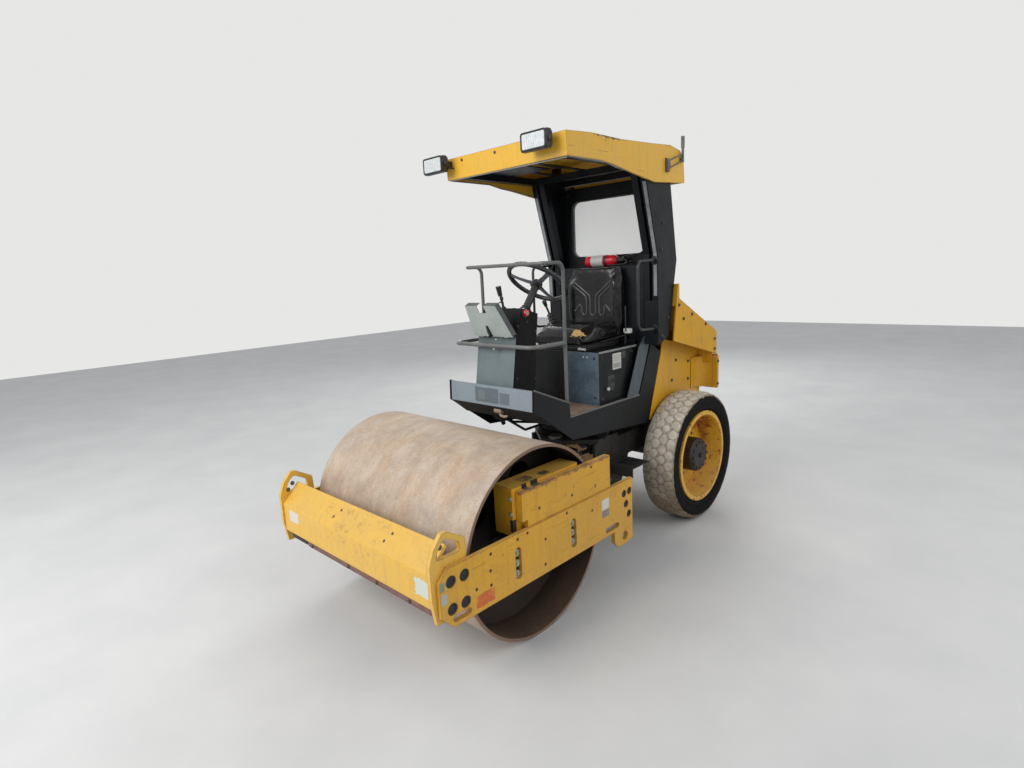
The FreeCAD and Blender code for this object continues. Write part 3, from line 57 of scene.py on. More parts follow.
def set_camera():
    """The photograph's viewpoint, for a frame of 1024 by 768."""
    yaw, pitch, roll = (math.radians(angle) for angle in (44.411, -10.538, -2.867))
    ahead = Vector((-math.sin(yaw) * math.cos(pitch), math.cos(yaw) * math.cos(pitch), math.sin(pitch)))
    right = ahead.cross(UP).normalized()
    up = right.cross(ahead)
    right, up = (right * math.cos(roll) + up * math.sin(roll), up * math.cos(roll) - right * math.sin(roll))
    data = bpy.data.cameras.new("photo_camera")
    data.sensor_width = 36
    data.lens = 599.93 / 1024 * 36
    camera = bpy.data.objects.new("photo_camera", data)
    place = Matrix((right, up, -ahead)).transposed().to_4x4()
    place.translation = Vector((2.346, -2.758, 1.684))
    camera.matrix_world = place
    bpy.context.scene.collection.objects.link(camera)
    bpy.context.scene.camera = camera
    bpy.context.scene.view_settings.view_transform = "Standard"


def area_light(name, place, target, size, power):
    data = bpy.data.lights.new(name, "AREA")
    data.size = size
    data.energy = power
    lamp = bpy.data.objects.new(name, data)
    lamp.location = place
    lamp.rotation_euler = (Vector(target) - Vector(place)).to_track_quat("-Z", "Y").to_euler()
    bpy.context.scene.collection.objects.link(lamp)


def set_light():
    area_light("front_light", (-1.5, -6.0, 4.6), (0, 0, 1.0), 4.0, 330)
    area_light("side_light", (5.5, 0.5, 4.2), (0, 0, 1.0), 4.0, 85)
    area_light("back_light", (-3.5, 5.5, 4.5), (0, 0.5, 1.2), 4.0, 150)
    world = bpy.data.worlds.new("studio")
    bpy.context.scene.world = world
    world.use_nodes = True
    tree = world.node_tree
    tree.nodes.clear()
    sky = tree.nodes.new("ShaderNodeBackground")
    sky.inputs["Color"].default_value = (0.92, 0.95, 1.0, 1)
    sky.inputs["Strength"].default_value = 0.55
    back = tree.nodes.new("ShaderNodeBackground")
    back.inputs["Color"].default_value = (0.80, 0.80, 0.79, 1)
    back.inputs["Strength"].default_value = 1.0
    path = tree.nodes.new("ShaderNodeLightPath")
    pick = tree.nodes.new("ShaderNodeMixShader")
    out = tree.nodes.new("ShaderNodeOutputWorld")
    share = path.outputs["Is Camera Ray"]
    for kind in ("Is Glossy Ray", "Is Transmission Ray"):
        either = tree.nodes.new("ShaderNodeMath")
        either.operation = "MAXIMUM"
        tree.links.new(share, either.inputs[0])
        tree.links.new(path.outputs[kind], either.inputs[1])
        share = either.outputs[0]
    tree.links.new(share, pick.inputs[0])
    tree.links.new(sky.outputs[0], pick.inputs[1])
    tree.links.new(back.outputs[0], pick.inputs[2])
    tree.links.new(pick.outputs[0], out.inputs[0])


# Material building

class Paint:
    """Small helper that wires one procedural material."""

    def __init__(self, name, **settings):
        self.material = bpy.data.materials.new(name)
        self.material.use_nodes = True
        self.tree = self.material.node_tree
        self.shader = self.tree.nodes["Principled BSDF"]
        for key, amount in settings.items():
            self.shader.inputs[key.replace("_", " ")].default_value = amount
        self.coords = self.tree.nodes.new("ShaderNodeTexCoord").outputs["Object"]
        self.edges = {}

    def node(self, kind, **settings):
        made = self.tree.nodes.new("ShaderNode" + kind)
        for key, amount in settings.items():
            setattr(made, key, amount)
        return made

    def put(self, socket, amount):
        if isinstance(amount, bpy.types.NodeSocket):
            self.tree.links.new(amount, socket)
        else:
            socket.default_value = amount

    def stretched(self, scale):
        mapping = self.node("Mapping")
        self.put(mapping.inputs["Vector"], self.coords)
        mapping.inputs["Scale"].default_value = scale
        return mapping.outputs[0]

    def noise(self, scale, detail=6, rough=0.6, stretch=None, warp=0.0):
        made = self.node("TexNoise")
        self.put(made.inputs["Vector"], self.stretched(stretch) if stretch else self.coords)
        for key, amount in (("Scale", scale), ("Detail", detail), ("Roughness", rough), ("Distortion", warp)):
            made.inputs[key].default_value = amount
        return made.outputs["Fac"]

    def cells(self, scale, feature="F1", stretch=None):
        made = self.node("TexVoronoi", feature=feature)
        self.put(made.inputs["Vector"], self.stretched(stretch) if stretch else self.coords)
        made.inputs["Scale"].default_value = scale
        return made.outputs["Distance"]

    def math(self, operation, first, second=0.5, clamp=False):
        made = self.node("Math", operation=operation, use_clamp=clamp)
        self.put(made.inputs[0], first)
        self.put(made.inputs[1], second)
        return made.outputs[0]

    def fade(self, amount, low, high, start=0.0, end=1.0):
        made = self.node("MapRange")
        made.clamp = True
        self.put(made.inputs["Value"], amount)
        for key, level in (("From Min", low), ("From Max", high), ("To Min", start), ("To Max", end)):
            made.inputs[key].default_value = level
        return made.outputs["Result"]

    def mix(self, share, first, second):
        made = self.node("Mix", data_type="RGBA")
        self.put(made.inputs[0], share)
        for socket, colour in ((made.inputs[6], first), (made.inputs[7], second)):
            self.put(socket, (*colour, 1.0) if isinstance(colour, tuple) else colour)
        return made.outputs[2]

    def bump(self, height, strength=0.3, distance=0.002):
        made = self.node("Bump")
        made.inputs["Strength"].default_value = strength
        made.inputs["Distance"].default_value = distance
        self.put(made.inputs["Height"], height)
        self.put(self.shader.inputs["Normal"], made.outputs[0])

    def facing(self, axis="Z"):
        """How far the surface faces along one axis, from -1 to 1."""
        made = self.node("NewGeometry")
        split = self.node("SeparateXYZ")
        self.put(split.inputs[0], made.outputs["Normal"])
        return split.outputs[axis]

    def inside(self, low, high, ragged=0.003, worn=0.0):
        """Share of the surface inside a box with ragged edges, and partly worn through."""
        split = self.node("SeparateXYZ")
        self.put(split.inputs[0], self.coords)
        shake = self.fade(self.noise(60, 6, 0.7), 0.3, 0.7, -ragged, ragged)
        share = 1.0
        for axis, start, end in zip("XYZ", low, high):
            place = self.math("ADD", split.outputs[axis], shake)
            share = self.math("MULTIPLY", self.fade(place, start - 0.0004, start + 0.0004), share)
            share = self.math("MULTIPLY", self.fade(place, end + 0.0004, end - 0.0004), share)
        if worn:
            left = self.fade(self.noise(26, 8, 0.72), 0.22 + 0.42 * worn, 0.36 + 0.42 * worn)
            share = self.math("MULTIPLY", left, share)
        return share

    def apart(self, centres, paired):
        """Distance to the nearest of some points; paired ones are given for the left side and mirrored."""
        split = self.node("SeparateXYZ")
        self.put(split.inputs[0], self.coords)
        folded = self.node("CombineXYZ")
        across = split.outputs["X"]
        self.put(folded.inputs[0], self.math("ABSOLUTE", across) if paired else across)
        self.put(folded.inputs[1], split.outputs["Y"])
        self.put(folded.inputs[2], split.outputs["Z"])
        nearest = 1.0
        for centre in centres:
            reach = self.node("VectorMath", operation="DISTANCE")
            self.put(reach.inputs[0], folded.outputs[0])
            reach.inputs[1].default_value = centre
            nearest = self.math("MINIMUM", reach.outputs["Value"], nearest)
        return nearest

    def height(self):
        split = self.node("SeparateXYZ")
        self.put(split.inputs[0], self.coords)
        return split.outputs["Z"]

    def edge(self, radius):
        """How near a sharp edge is, from the difference between the rounded and the true normal."""
        if radius not in self.edges:
            bevel = self.node("Bevel", samples=4)
            bevel.inputs["Radius"].default_value = radius
            true = self.node("NewGeometry")
            dot = self.node("VectorMath", operation="DOT_PRODUCT")
            self.put(dot.inputs[0], bevel.outputs[0])
            self.put(dot.inputs[1], true.outputs["Normal"])
            self.edges[radius] = self.math("SUBTRACT", 1.0, dot.outputs["Value"])
        return self.edges[radius]

    def done(self, colour, roughness=None):
        self.put(self.shader.inputs["Base Color"], colour)
        if roughness is not None:
            self.put(self.shader.inputs["Roughness"], roughness)
        return self.material


def painted(name, base, worn, under, dust, chips=0.66, edge_wear=1.0, dusty=0.35, streaks=0.25, rough=0.42,
            scuffs=0.0, marks=(), holes=(), paired=True, scratches=0.0, sheen=0.5):
    """Machine paint: fading, streaks, chipped edges, dust on what faces up, blank labels, small drilled holes drawn as
    rust rings round painted shade.
    """
    p = Paint(name, Metallic=0.0)
    p.shader.inputs["Coat Weight"].default_value = 0.3 * sheen
    p.shader.inputs["Coat Roughness"].default_value = 0.3
    p.shader.inputs["Specular IOR Level"].default_value = sheen
    patches = p.fade(p.noise(2.6, 5, 0.6), 0.35, 0.7)
    colour = p.mix(patches, base, worn)
    fine = p.fade(p.noise(75, 4, 0.7), 0.3, 0.7, 0.0, 0.16)
    colour = p.mix(fine, colour, under)
    runs = p.fade(p.noise(1.0, 7, 0.62, stretch=(34, 34, 2.2)), 0.52, 0.76, 0.0, streaks)
    colour = p.mix(runs, colour, under)
    grime = p.fade(p.noise(7.5, 9, 0.68, warp=0.4), 0.55, 0.74, 0.0, 0.45)
    colour = p.mix(grime, colour, tuple(0.55 * a + 0.45 * b for a, b in zip(under, worn)))
    if scuffs:
        lines = p.fade(p.noise(1.0, 6, 0.7, stretch=(6, 60, 30)), 0.60, 0.72, 0.0, scuffs)
        colour = p.mix(lines, colour, dust)
    spots = p.fade(p.noise(38, 7, 0.62), chips, chips + 0.03)
    rim = p.math("MULTIPLY", p.edge(0.006), 5.0 * edge_wear)
    broken = p.fade(p.math("MULTIPLY", rim, p.noise(30, 6, 0.7)), 0.28, 0.42)
    bare = p.math("MAXIMUM", spots, broken)
    rust = p.mix(p.fade(p.noise(110, 5), 0.35, 0.65), under, tuple(0.45 * part for part in under))
    colour = p.mix(bare, colour, rust)
    if scratches:
        lines = p.fade(p.noise(1.0, 5, 0.62, stretch=(60, 3.5, 150)), 0.645, 0.69, 0.0, scratches)
        colour = p.mix(lines, colour, tuple(0.7 * part for part in under))
    for low_corner, high_corner, tint, thin, *ragged in marks:
        colour = p.mix(p.inside(low_corner, high_corner, ragged[0] if ragged else 0.002, thin), colour, tint)
    up = p.fade(p.facing(), 0.25, 0.95)
    settled = p.math("MULTIPLY", up, p.fade(p.noise(11, 8, 0.7), 0.25, 0.75, 0.15, dusty))
    colour = p.mix(settled, colour, dust)
    low = p.fade(p.height(), 0.30, 0.75, 0.22, 0.0)
    colour = p.mix(p.math("MULTIPLY", low, p.noise(16, 7, 0.7)), colour, dust)
    roughness = p.fade(p.math("ADD", p.noise(14, 6), p.math("MULTIPLY", bare, 0.5)), 0.3, 1.1, rough - 0.06, rough + 0.4)
    height = p.math("SUBTRACT", p.math("MULTIPLY", p.noise(240, 3), 0.12), bare)
    if holes:
        near = p.math("ADD", p.apart(holes, paired), p.fade(p.noise(150, 4), 0.3, 0.7, -0.0010, 0.0010))
        colour = p.mix(p.fade(near, 0.0092, 0.0066, 0.0, 0.85), colour, tuple(0.6 * part for part in under))
        # Painted shade: the inside of each drilled hole is painted near black instead of being cut.
        hole_shade_mask = p.fade(near, 0.0058, 0.0052)
        colour = p.mix(hole_shade_mask, colour, (0.012, 0.009, 0.008))
        height = p.math("SUBTRACT", height, p.math("MULTIPLY", hole_shade_mask, 4.0))
    p.bump(height, 0.35, 0.0007)
    return p.done(colour, roughness)


def rolled_steel():
    """The drum's shell: dry grey-tan rust, finely mottled; painted shade near black inside, with a painted brown
    highlight low down.
    """
    p = Paint("drum_steel", Metallic=0.12)
    mottle = p.noise(9.0, 10, 0.78, stretch=(1.0, 0.8, 0.8), warp=0.3)
    colour = p.mix(p.fade(mottle, 0.40, 0.62), (0.415, 0.322, 0.240), (0.585, 0.490, 0.385))
    orange = p.fade(p.noise(6.0, 10, 0.80, warp=0.5), 0.47, 0.66, 0.0, 0.62)
    colour = p.mix(orange, colour, (0.520, 0.335, 0.190))
    grey = p.fade(p.noise(3.1, 9, 0.74, stretch=(1.6, 1, 1), warp=0.4), 0.50, 0.68, 0.0, 0.70)
    colour = p.mix(grey, colour, (0.400, 0.350, 0.320))
    rounds = p.fade(p.noise(1.0, 6, 0.64, stretch=(30, 2.0, 2.0), warp=0.2), 0.44, 0.72, 0.0, 0.30)
    colour = p.mix(rounds, colour, (0.335, 0.225, 0.155))
    grain = p.noise(190, 5, 0.78)
    colour = p.mix(p.fade(grain, 0.46, 0.72, 0.0, 0.55), colour, (0.240, 0.155, 0.105))
    nicks = p.fade(p.noise(1.0, 6, 0.75, stretch=(70, 42, 42)), 0.655, 0.70, 0.0, 0.9)
    colour = p.mix(nicks, colour, (0.745, 0.715, 0.660))
    colour = p.mix(p.fade(p.edge(0.012), 0.04, 0.20), colour, (0.210, 0.135, 0.095))
    split = p.node("SeparateXYZ")
    p.put(split.inputs[0], p.coords)
    along = p.math("SUBTRACT", split.outputs["Y"], DRUM_Y)
    high = p.math("SUBTRACT", split.outputs["Z"], DRUM_R)
    radius = p.math("SQRT", p.math("ADD", p.math("MULTIPLY", along, along), p.math("MULTIPLY", high, high)))
    across = p.math("ABSOLUTE", split.outputs["X"])
    face = p.math("MULTIPLY", p.fade(radius, 0.4562, 0.4550), p.fade(across, 0.5980, 0.5990))
    colour = p.mix(face, colour, (0.215, 0.135, 0.090))
    # Painted light inside the shell: near-black painted shade, with a painted brown highlight on the lower inside.
    sheen = p.math("MULTIPLY", p.fade(split.outputs["Z"], 0.36, 0.06), p.fade(across, 0.36, 0.58))
    inner = p.mix(p.math("MULTIPLY", sheen, p.fade(mottle, 0.3, 0.6, 0.5, 1.0)), (0.016, 0.012, 0.010), (0.150, 0.095, 0.060))
    # Where the painted shade of the inside is laid.
    painted_shade_inside = p.math("MULTIPLY", p.fade(radius, 0.4435, 0.4425), p.fade(across, 0.5995, 0.5985))
    colour = p.mix(painted_shade_inside, colour, inner)
    p.bump(p.math("ADD", p.math("MULTIPLY", orange, -0.4), grain), 0.3, 0.001)
    return p.done(colour, p.fade(grain, 0.3, 0.7, 0.50, 0.75))


def dark_steel(name, base=(0.035, 0.032, 0.030), rust=(0.16, 0.085, 0.045), share=0.4, rough=0.6, metallic=0.3):
    """Oily castings and bare steel parts."""
    p = Paint(name, Metallic=metallic)
    colour = p.mix(p.fade(p.noise(9, 8, 0.7), 0.45, 0.7, 0.0, share), base, rust)
    colour = p.mix(p.fade(p.noise(60, 6, 0.7), 0.5, 0.75, 0.0, 0.4), colour, tuple(2.6 * part for part in base))
    p.bump(p.noise(160, 5, 0.7), 0.35, 0.001)
    return p.done(colour, p.fade(p.noise(20, 5), 0.3, 0.7, rough - 0.15, rough + 0.2))


def tyre_rubber():
    """Black side walls and a tread caked with dry mud."""
    p = Paint("tyre_rubber", Metallic=0.0)
    split = p.node("SeparateXYZ")
    p.put(split.inputs[0], p.coords)
    along = p.math("SUBTRACT", split.outputs["Y"], AXLE_Y)
    high = p.math("SUBTRACT", split.outputs["Z"], TYRE_R)
    radius = p.math("SQRT", p.math("ADD", p.math("MULTIPLY", along, along), p.math("MULTIPLY", high, high)))
    ragged = p.math("ADD", radius, p.fade(p.noise(26, 7, 0.7), 0.3, 0.7, -0.007, 0.007))
    mud = p.fade(ragged, 0.396, 0.406)
    rubber = p.mix(p.fade(p.noise(40, 6), 0.4, 0.7), (0.0040, 0.0040, 0.0046), (0.0095, 0.0092, 0.0090))
    rubber = p.mix(p.fade(p.noise(6, 8, 0.7), 0.62, 0.8, 0.0, 0.22), rubber, (0.09, 0.075, 0.06))
    soil = p.mix(p.fade(p.noise(30, 8, 0.7), 0.35, 0.65), (0.50, 0.44, 0.35), (0.71, 0.65, 0.55))
    soil = p.mix(p.fade(p.noise(9, 6, 0.7), 0.54, 0.72, 0.0, 0.50), soil, (0.30, 0.25, 0.20))
    # Darker soil and painted shade in the gaps between the lugs.
    between = p.mix(p.fade(p.noise(70, 8, 0.75), 0.40, 0.62), (0.27, 0.215, 0.16), (0.54, 0.47, 0.375))
    off = p.math("ABSOLUTE", p.math("SUBTRACT", p.math("ABSOLUTE", split.outputs["X"]), TREAD_X))
    share = p.math("MAXIMUM", p.math("SUBTRACT", p.math("DIVIDE", off, TREAD_HALF), 0.55), 0.0)
    drop = p.math("MULTIPLY", p.math("POWER", share, 1.5), SHOULDER)
    depth = p.math("SUBTRACT", p.math("SUBTRACT", TYRE_R, drop), radius)
    # Lays the darker soil and painted shade into the gaps below the lug tops.
    soil = p.mix(p.fade(depth, 0.0020, 0.0040), soil, between)
    low = p.fade(split.outputs["Z"], 0.60, 0.22, 0.0, 0.80)
    soil = p.mix(p.math("MULTIPLY", low, p.fade(p.noise(6, 8, 0.75), 0.25, 0.5)), soil, (0.17, 0.120, 0.072))
    p.bump(p.noise(130, 6, 0.75), 0.5, 0.0015)
    p.shader.inputs["Specular IOR Level"].default_value = 0.06
    return p.done(p.mix(mud, rubber, soil), p.fade(mud, 0.0, 1.0, 0.60, 0.95))


def vinyl(name, torn=False):
    """Black seat cover with a fine grain, shiny where it is worn smooth, and a tear that shows the foam."""
    p = Paint(name, Metallic=0.0)
    colour = p.mix(p.fade(p.noise(9, 7, 0.65), 0.45, 0.75, 0.0, 0.6), (0.004, 0.004, 0.005), (0.013, 0.012, 0.012))
    up = p.fade(p.facing(), 0.5, 1.0)
    colour = p.mix(p.math("MULTIPLY", up, p.fade(p.noise(17, 8, 0.7), 0.45, 0.75, 0.0, 0.16)), colour, (0.20, 0.165, 0.13))
    folds = p.math("MULTIPLY", p.noise(9, 5, 0.6, warp=0.8), 9.0)
    p.bump(p.math("ADD", folds, p.math("MULTIPLY", p.noise(300, 3), 0.25)), 0.35, 0.0011)
    if torn:
        foam = p.mix(p.fade(p.noise(70, 6, 0.7), 0.35, 0.7), (0.74, 0.52, 0.22), (0.56, 0.33, 0.10))
        colour = p.mix(p.inside((0.105, -0.10, 1.292), (0.222, 0.098, 1.348), 0.014), colour, foam)
    p.shader.inputs["Specular IOR Level"].default_value = 0.42
    return p.done(colour, p.fade(p.noise(8, 5), 0.3, 0.7, 0.15, 0.30))


def plain(name, base, second, scale=30, rough=0.5, metallic=0.0, grain=0.25, dusty=0.2, spread=0.12):
    """Plastic, rubber and small plated parts, with a mottled surface and a little dust."""
    p = Paint(name, Metallic=metallic)
    colour = p.mix(p.fade(p.noise(scale, 7, 0.65), 0.4, 0.7), base, second)
    up = p.fade(p.facing(), 0.2, 1.0)
    colour = p.mix(p.math("MULTIPLY", up, p.fade(p.noise(15, 8, 0.7), 0.3, 0.75, 0.0, dusty)), colour, (0.36, 0.31, 0.25))
    p.bump(p.noise(scale * 9, 4), grain, 0.0007)
    return p.done(colour, p.fade(p.noise(scale * 0.7, 5), 0.3, 0.7, rough - spread, rough + spread))


def clear_glass():
    p = Paint("window_pane", Metallic=0.0, Roughness=0.04, IOR=1.45, Alpha=0.28)
    film = p.fade(p.noise(6, 8, 0.7), 0.35, 0.75)
    return p.done(p.mix(film, (0.50, 0.56, 0.56), (0.72, 0.72, 0.68)))


def floor_material():
    p = Paint("pale_floor", Metallic=0.0)
    colour = p.mix(p.fade(p.noise(1.6, 8, 0.6), 0.35, 0.7), (0.60, 0.60, 0.59), (0.66, 0.655, 0.64))
    p.bump(p.noise(60, 5), 0.1, 0.001)
    return p.done(colour, p.fade(p.noise(4, 5), 0.3, 0.7, 0.62, 0.8))


RUST = (0.20, 0.075, 0.025)
DUST = (0.46, 0.375, 0.25)
YELLOW_BASE = (0.77, 0.395, 0.014)
YELLOW_WORN = (0.65, 0.345, 0.028)


PLATE_HOLES = [(0.648, y, z) for y, z in (
    (-1.038, 0.553), (-0.975, 0.560), (-0.857, 0.488), (-1.200, 0.549), (-1.206, 0.477), (-1.206, 0.413),
    (-1.288, 0.429), (-0.864, 0.368), (-0.700, 0.560), (-0.503, 0.508))]
BOX_HOLES = [(0.640, y, z) for y, z in ((-0.647, 0.631), (-0.881, 0.643), (-0.493, 0.728))]
BEAM_HOLES = [(-0.119, -1.429, 0.625), (-0.148, -1.457, 0.595), (0.294, -1.430, 0.623), (0.268, -1.4585, 0.593)]


def yellow_paint(name, marks=(), chips=0.675, dusty=0.25, streaks=0.26, holes=(), scratches=0.0):
    """The machine's yellow, faded and chipped."""
    return painted(name, YELLOW_BASE, YELLOW_WORN, RUST, DUST, chips, 1.5, dusty, streaks, 0.38, 0.0, marks, holes,
                   True, scratches, 0.35)


def plate_marks():
    """Blank, worn stickers on the left side plate, and the line where the end plate's edge shows."""
    near, far = 0.640, 0.660
    return (
        ((near, -1.292, 0.343), (far, -1.189, 0.398), (0.62, 0.105, 0.012), 0.34, 0.005),
        ((near, -0.421, 0.478), (far, -0.361, 0.532), (0.66, 0.65, 0.60), 0.05),
        ((near, -0.421, 0.437), (far, -0.361, 0.474), (0.20, 0.20, 0.19), 0.20),
        ((near, -1.472, 0.492), (far, -1.450, 0.530), (0.20, 0.26, 0.21), 0.10),
        ((near, -1.470, 0.437), (far, -1.441, 0.480), (0.42, 0.43, 0.42), 0.15),
    )


def beam_marks():
    """Two pale worn patches on the beam's front, and a scratched brown stretch between them."""
    return (
        ((0.512, -1.50, 0.455), (0.600, -1.47, 0.527), (0.60, 0.66, 0.60), 0.10, 0.008),
        ((-0.545, -1.50, 0.480), (-0.455, -1.47, 0.540), (0.66, 0.64, 0.58), 0.10, 0.010),
        ((-0.24, -1.50, 0.47), (0.26, -1.40, 0.650), (0.42, 0.22, 0.065), 0.74, 0.03),
    )


def box_marks():
    """Rusty top strip, and painted shade in the recesses of the top and in the open notch at the front."""
    # Near black painted shade for the recesses and the notch.
    recess_shade = (0.014, 0.010, 0.008)
    return (
        ((0.617, -1.03, 0.738), (0.66, -0.33, 0.77), (0.26, 0.11, 0.045), 0.42, 0.006),
        ((0.598, -0.956, 0.740), (0.632, -0.924, 0.77), recess_shade, 0.0),
        ((0.598, -0.898, 0.740), (0.632, -0.851, 0.77), recess_shade, 0.0),
        ((0.555, -0.800, 0.740), (0.592, -0.743, 0.77), recess_shade, 0.0),
        ((0.530, -0.925, 0.740), (0.585, -0.850, 0.77), (0.10, 0.05, 0.02), 0.30, 0.008),
        ((0.590, -1.03, 0.566), (0.636, -0.9975, 0.622), recess_shade, 0.0, 0.0003),
    )


def canopy_marks():
    """Chipped top edge, a few scratches and the dark sealing strip of the left side."""
    near, far = 0.440, 0.452
    bare = (0.085, 0.035, 0.018)
    return (
        ((near, -0.140, 2.344), (far, 0.140, 2.39), bare, 0.46, 0.008),
        ((near, -0.060, 2.318), (far, 0.100, 2.345), bare, 0.80, 0.006),
        ((near, -0.050, 2.300), (far, 0.075, 2.312), (0.30, 0.10, 0.03), 0.75, 0.004),
        ((near, -0.350, 2.2735), (far, -0.295, 2.2750), bare, 0.25, 0.0006),
        ((near, -0.105, 2.2735), (far, -0.020, 2.2752), bare, 0.30, 0.0006),
        ((near, 0.250, 2.205), (far, 0.330, 2.2068), bare, 0.35, 0.0006),
    )


def rim_marks():
    """Rust that has run from the disc's edge into the left rim."""
    return (
        ((0.40, AXLE_Y + 0.100, TYRE_R + 0.135), (0.53, AXLE_Y + 0.270, TYRE_R + 0.262), (0.24, 0.030, 0.012), 0.45, 0.030),
        ((0.40, AXLE_Y + 0.190, TYRE_R - 0.020), (0.47, AXLE_Y + 0.290, TYRE_R + 0.150), (0.30, 0.060, 0.014), 0.55, 0.025),
    )


def console_paint():
    """Black case with a blue-grey front below a seam."""
    p = Paint("console_case", Metallic=0.0)
    black = p.mix(p.fade(p.noise(18, 7, 0.65), 0.4, 0.7), (0.004, 0.004, 0.0045), (0.009, 0.009, 0.010))
    pale = p.mix(p.fade(p.noise(5, 7, 0.65), 0.35, 0.7), (0.128, 0.165, 0.172), (0.182, 0.220, 0.226))
    dirt = p.fade(p.noise(9, 8, 0.7, stretch=(1, 1, 0.3)), 0.5, 0.75, 0.0, 0.6)
    pale = p.mix(dirt, pale, (0.085, 0.095, 0.095))
    seam = p.inside((-0.20, -0.60, 1.2985), (0.20, -0.40, 1.3015), 0.0003)
    pale = p.mix(seam, pale, (0.04, 0.045, 0.045))
    above = p.fade(p.height(), 1.2985, 1.3015, 0.0, 0.40)
    pale = p.mix(above, pale, (0.09, 0.105, 0.105))
    front = p.math("MULTIPLY", p.fade(p.facing("Y"), -0.35, -0.55), p.fade(p.height(), 1.349, 1.345))
    p.shader.inputs["Specular IOR Level"].default_value = 0.15
    p.bump(p.noise(150, 4), 0.2, 0.0006)
    return p.done(p.mix(front, black, pale), p.fade(p.noise(14, 5), 0.3, 0.7, 0.34, 0.58))


def lid_paint():
    """Pale grey sheet whose folded rims, facing away from the front, are painted dark as painted shade."""
    p = Paint("lid_sheet", Metallic=0.0)
    pale = p.mix(p.fade(p.noise(6, 7, 0.65), 0.35, 0.7), (0.335, 0.385, 0.365), (0.415, 0.455, 0.435))
    pale = p.mix(p.fade(p.noise(14, 8, 0.7), 0.55, 0.75, 0.0, 0.5), pale, (0.25, 0.275, 0.265))
    # Dark grey for the folded rims: painted shade.
    dark = p.mix(p.fade(p.noise(16, 6), 0.4, 0.7), (0.050, 0.056, 0.058), (0.085, 0.092, 0.092))
    p.bump(p.noise(150, 4), 0.2, 0.0006)
    return p.done(p.mix(p.fade(p.facing("Y"), -0.62, -0.78), dark, pale), p.fade(p.noise(14, 5), 0.3, 0.7, 0.30, 0.55))


def seat_box_paint():
    """Box with a scratched blue-grey front on its left part and a blank label on the side; its sides and the front's
    right part are painted near black as painted shade.
    """
    p = Paint("seat_box_paint", Metallic=0.0)
    # Near black: painted shade on the box's sides and the right part of its front.
    black = p.mix(p.fade(p.noise(12, 7, 0.65), 0.4, 0.7), (0.0055, 0.0065, 0.007), (0.012, 0.013, 0.014))
    blue = p.mix(p.fade(p.noise(7, 8, 0.7), 0.35, 0.7), (0.085, 0.130, 0.172), (0.165, 0.228, 0.280))
    lines = p.fade(p.noise(1.0, 7, 0.75, stretch=(46, 46, 20), warp=1.5), 0.56, 0.66, 0.0, 0.8)
    blue = p.mix(lines, blue, (0.26, 0.31, 0.33))
    side = p.node("SeparateXYZ")
    p.put(side.inputs[0], p.coords)
    # Blue-grey only where the front faces forward on its left part; everywhere else keeps the painted shade.
    front = p.math("MULTIPLY", p.fade(p.facing("Y"), -0.4, -0.7), p.fade(side.outputs["X"], 0.052, 0.060))
    colour = p.mix(front, black, blue)
    colour = p.mix(p.inside((0.29, 0.198, 1.080), (0.31, 0.288, 1.176), 0.001), colour, (0.60, 0.60, 0.55))
    for low, high, tint, worn in (((0.29, 0.205, 1.088), (0.31, 0.281, 1.118), (0.34, 0.34, 0.31), 0.1),
                                  ((0.29, 0.205, 1.126), (0.31, 0.281, 1.168), (0.48, 0.48, 0.44), 0.1),
                                  ((0.29, 0.300, 1.140), (0.31, 0.335, 1.178), (0.07, 0.075, 0.07), 0.3),
                                  ((0.29, 0.150, 0.960), (0.31, 0.215, 1.050), (0.060, 0.062, 0.058), 0.45)):
        colour = p.mix(p.inside(low, high, 0.003, worn), colour, tint)
    rim = p.fade(p.math("MULTIPLY", p.edge(0.006), p.noise(20, 6, 0.7)), 0.03, 0.08, 0.0, 0.7)
    colour = p.mix(rim, colour, (0.22, 0.22, 0.20))
    p.shader.inputs["Specular IOR Level"].default_value = 0.22
    p.bump(p.noise(180, 4), 0.2, 0.0006)
    return p.done(colour, p.fade(p.noise(14, 5), 0.3, 0.7, 0.28, 0.50))


def floor_paint():
    """Platform floor trodden to bare brown metal with dried dirt."""
    p = Paint("trodden_floor", Metallic=0.1)
    colour = p.mix(p.fade(p.noise(7, 8, 0.7), 0.38, 0.66), (0.20, 0.125, 0.085), (0.34, 0.235, 0.165))
    colour = p.mix(p.fade(p.noise(24, 8, 0.7), 0.55, 0.72, 0.0, 0.8), colour, (0.055, 0.045, 0.04))
    split = p.node("SeparateXYZ")
    p.put(split.inputs[0], p.coords)
    colour = p.mix(p.fade(split.outputs["Y"], -0.05, 0.20, 0.0, 0.75), colour, (0.105, 0.105, 0.090))
    colour = p.mix(p.fade(p.facing(), 0.5, 0.9), (0.022, 0.022, 0.022), colour)
    p.bump(p.noise(90, 6, 0.7), 0.5, 0.001)
    return p.done(colour, p.fade(p.noise(20, 5), 0.3, 0.7, 0.6, 0.85))


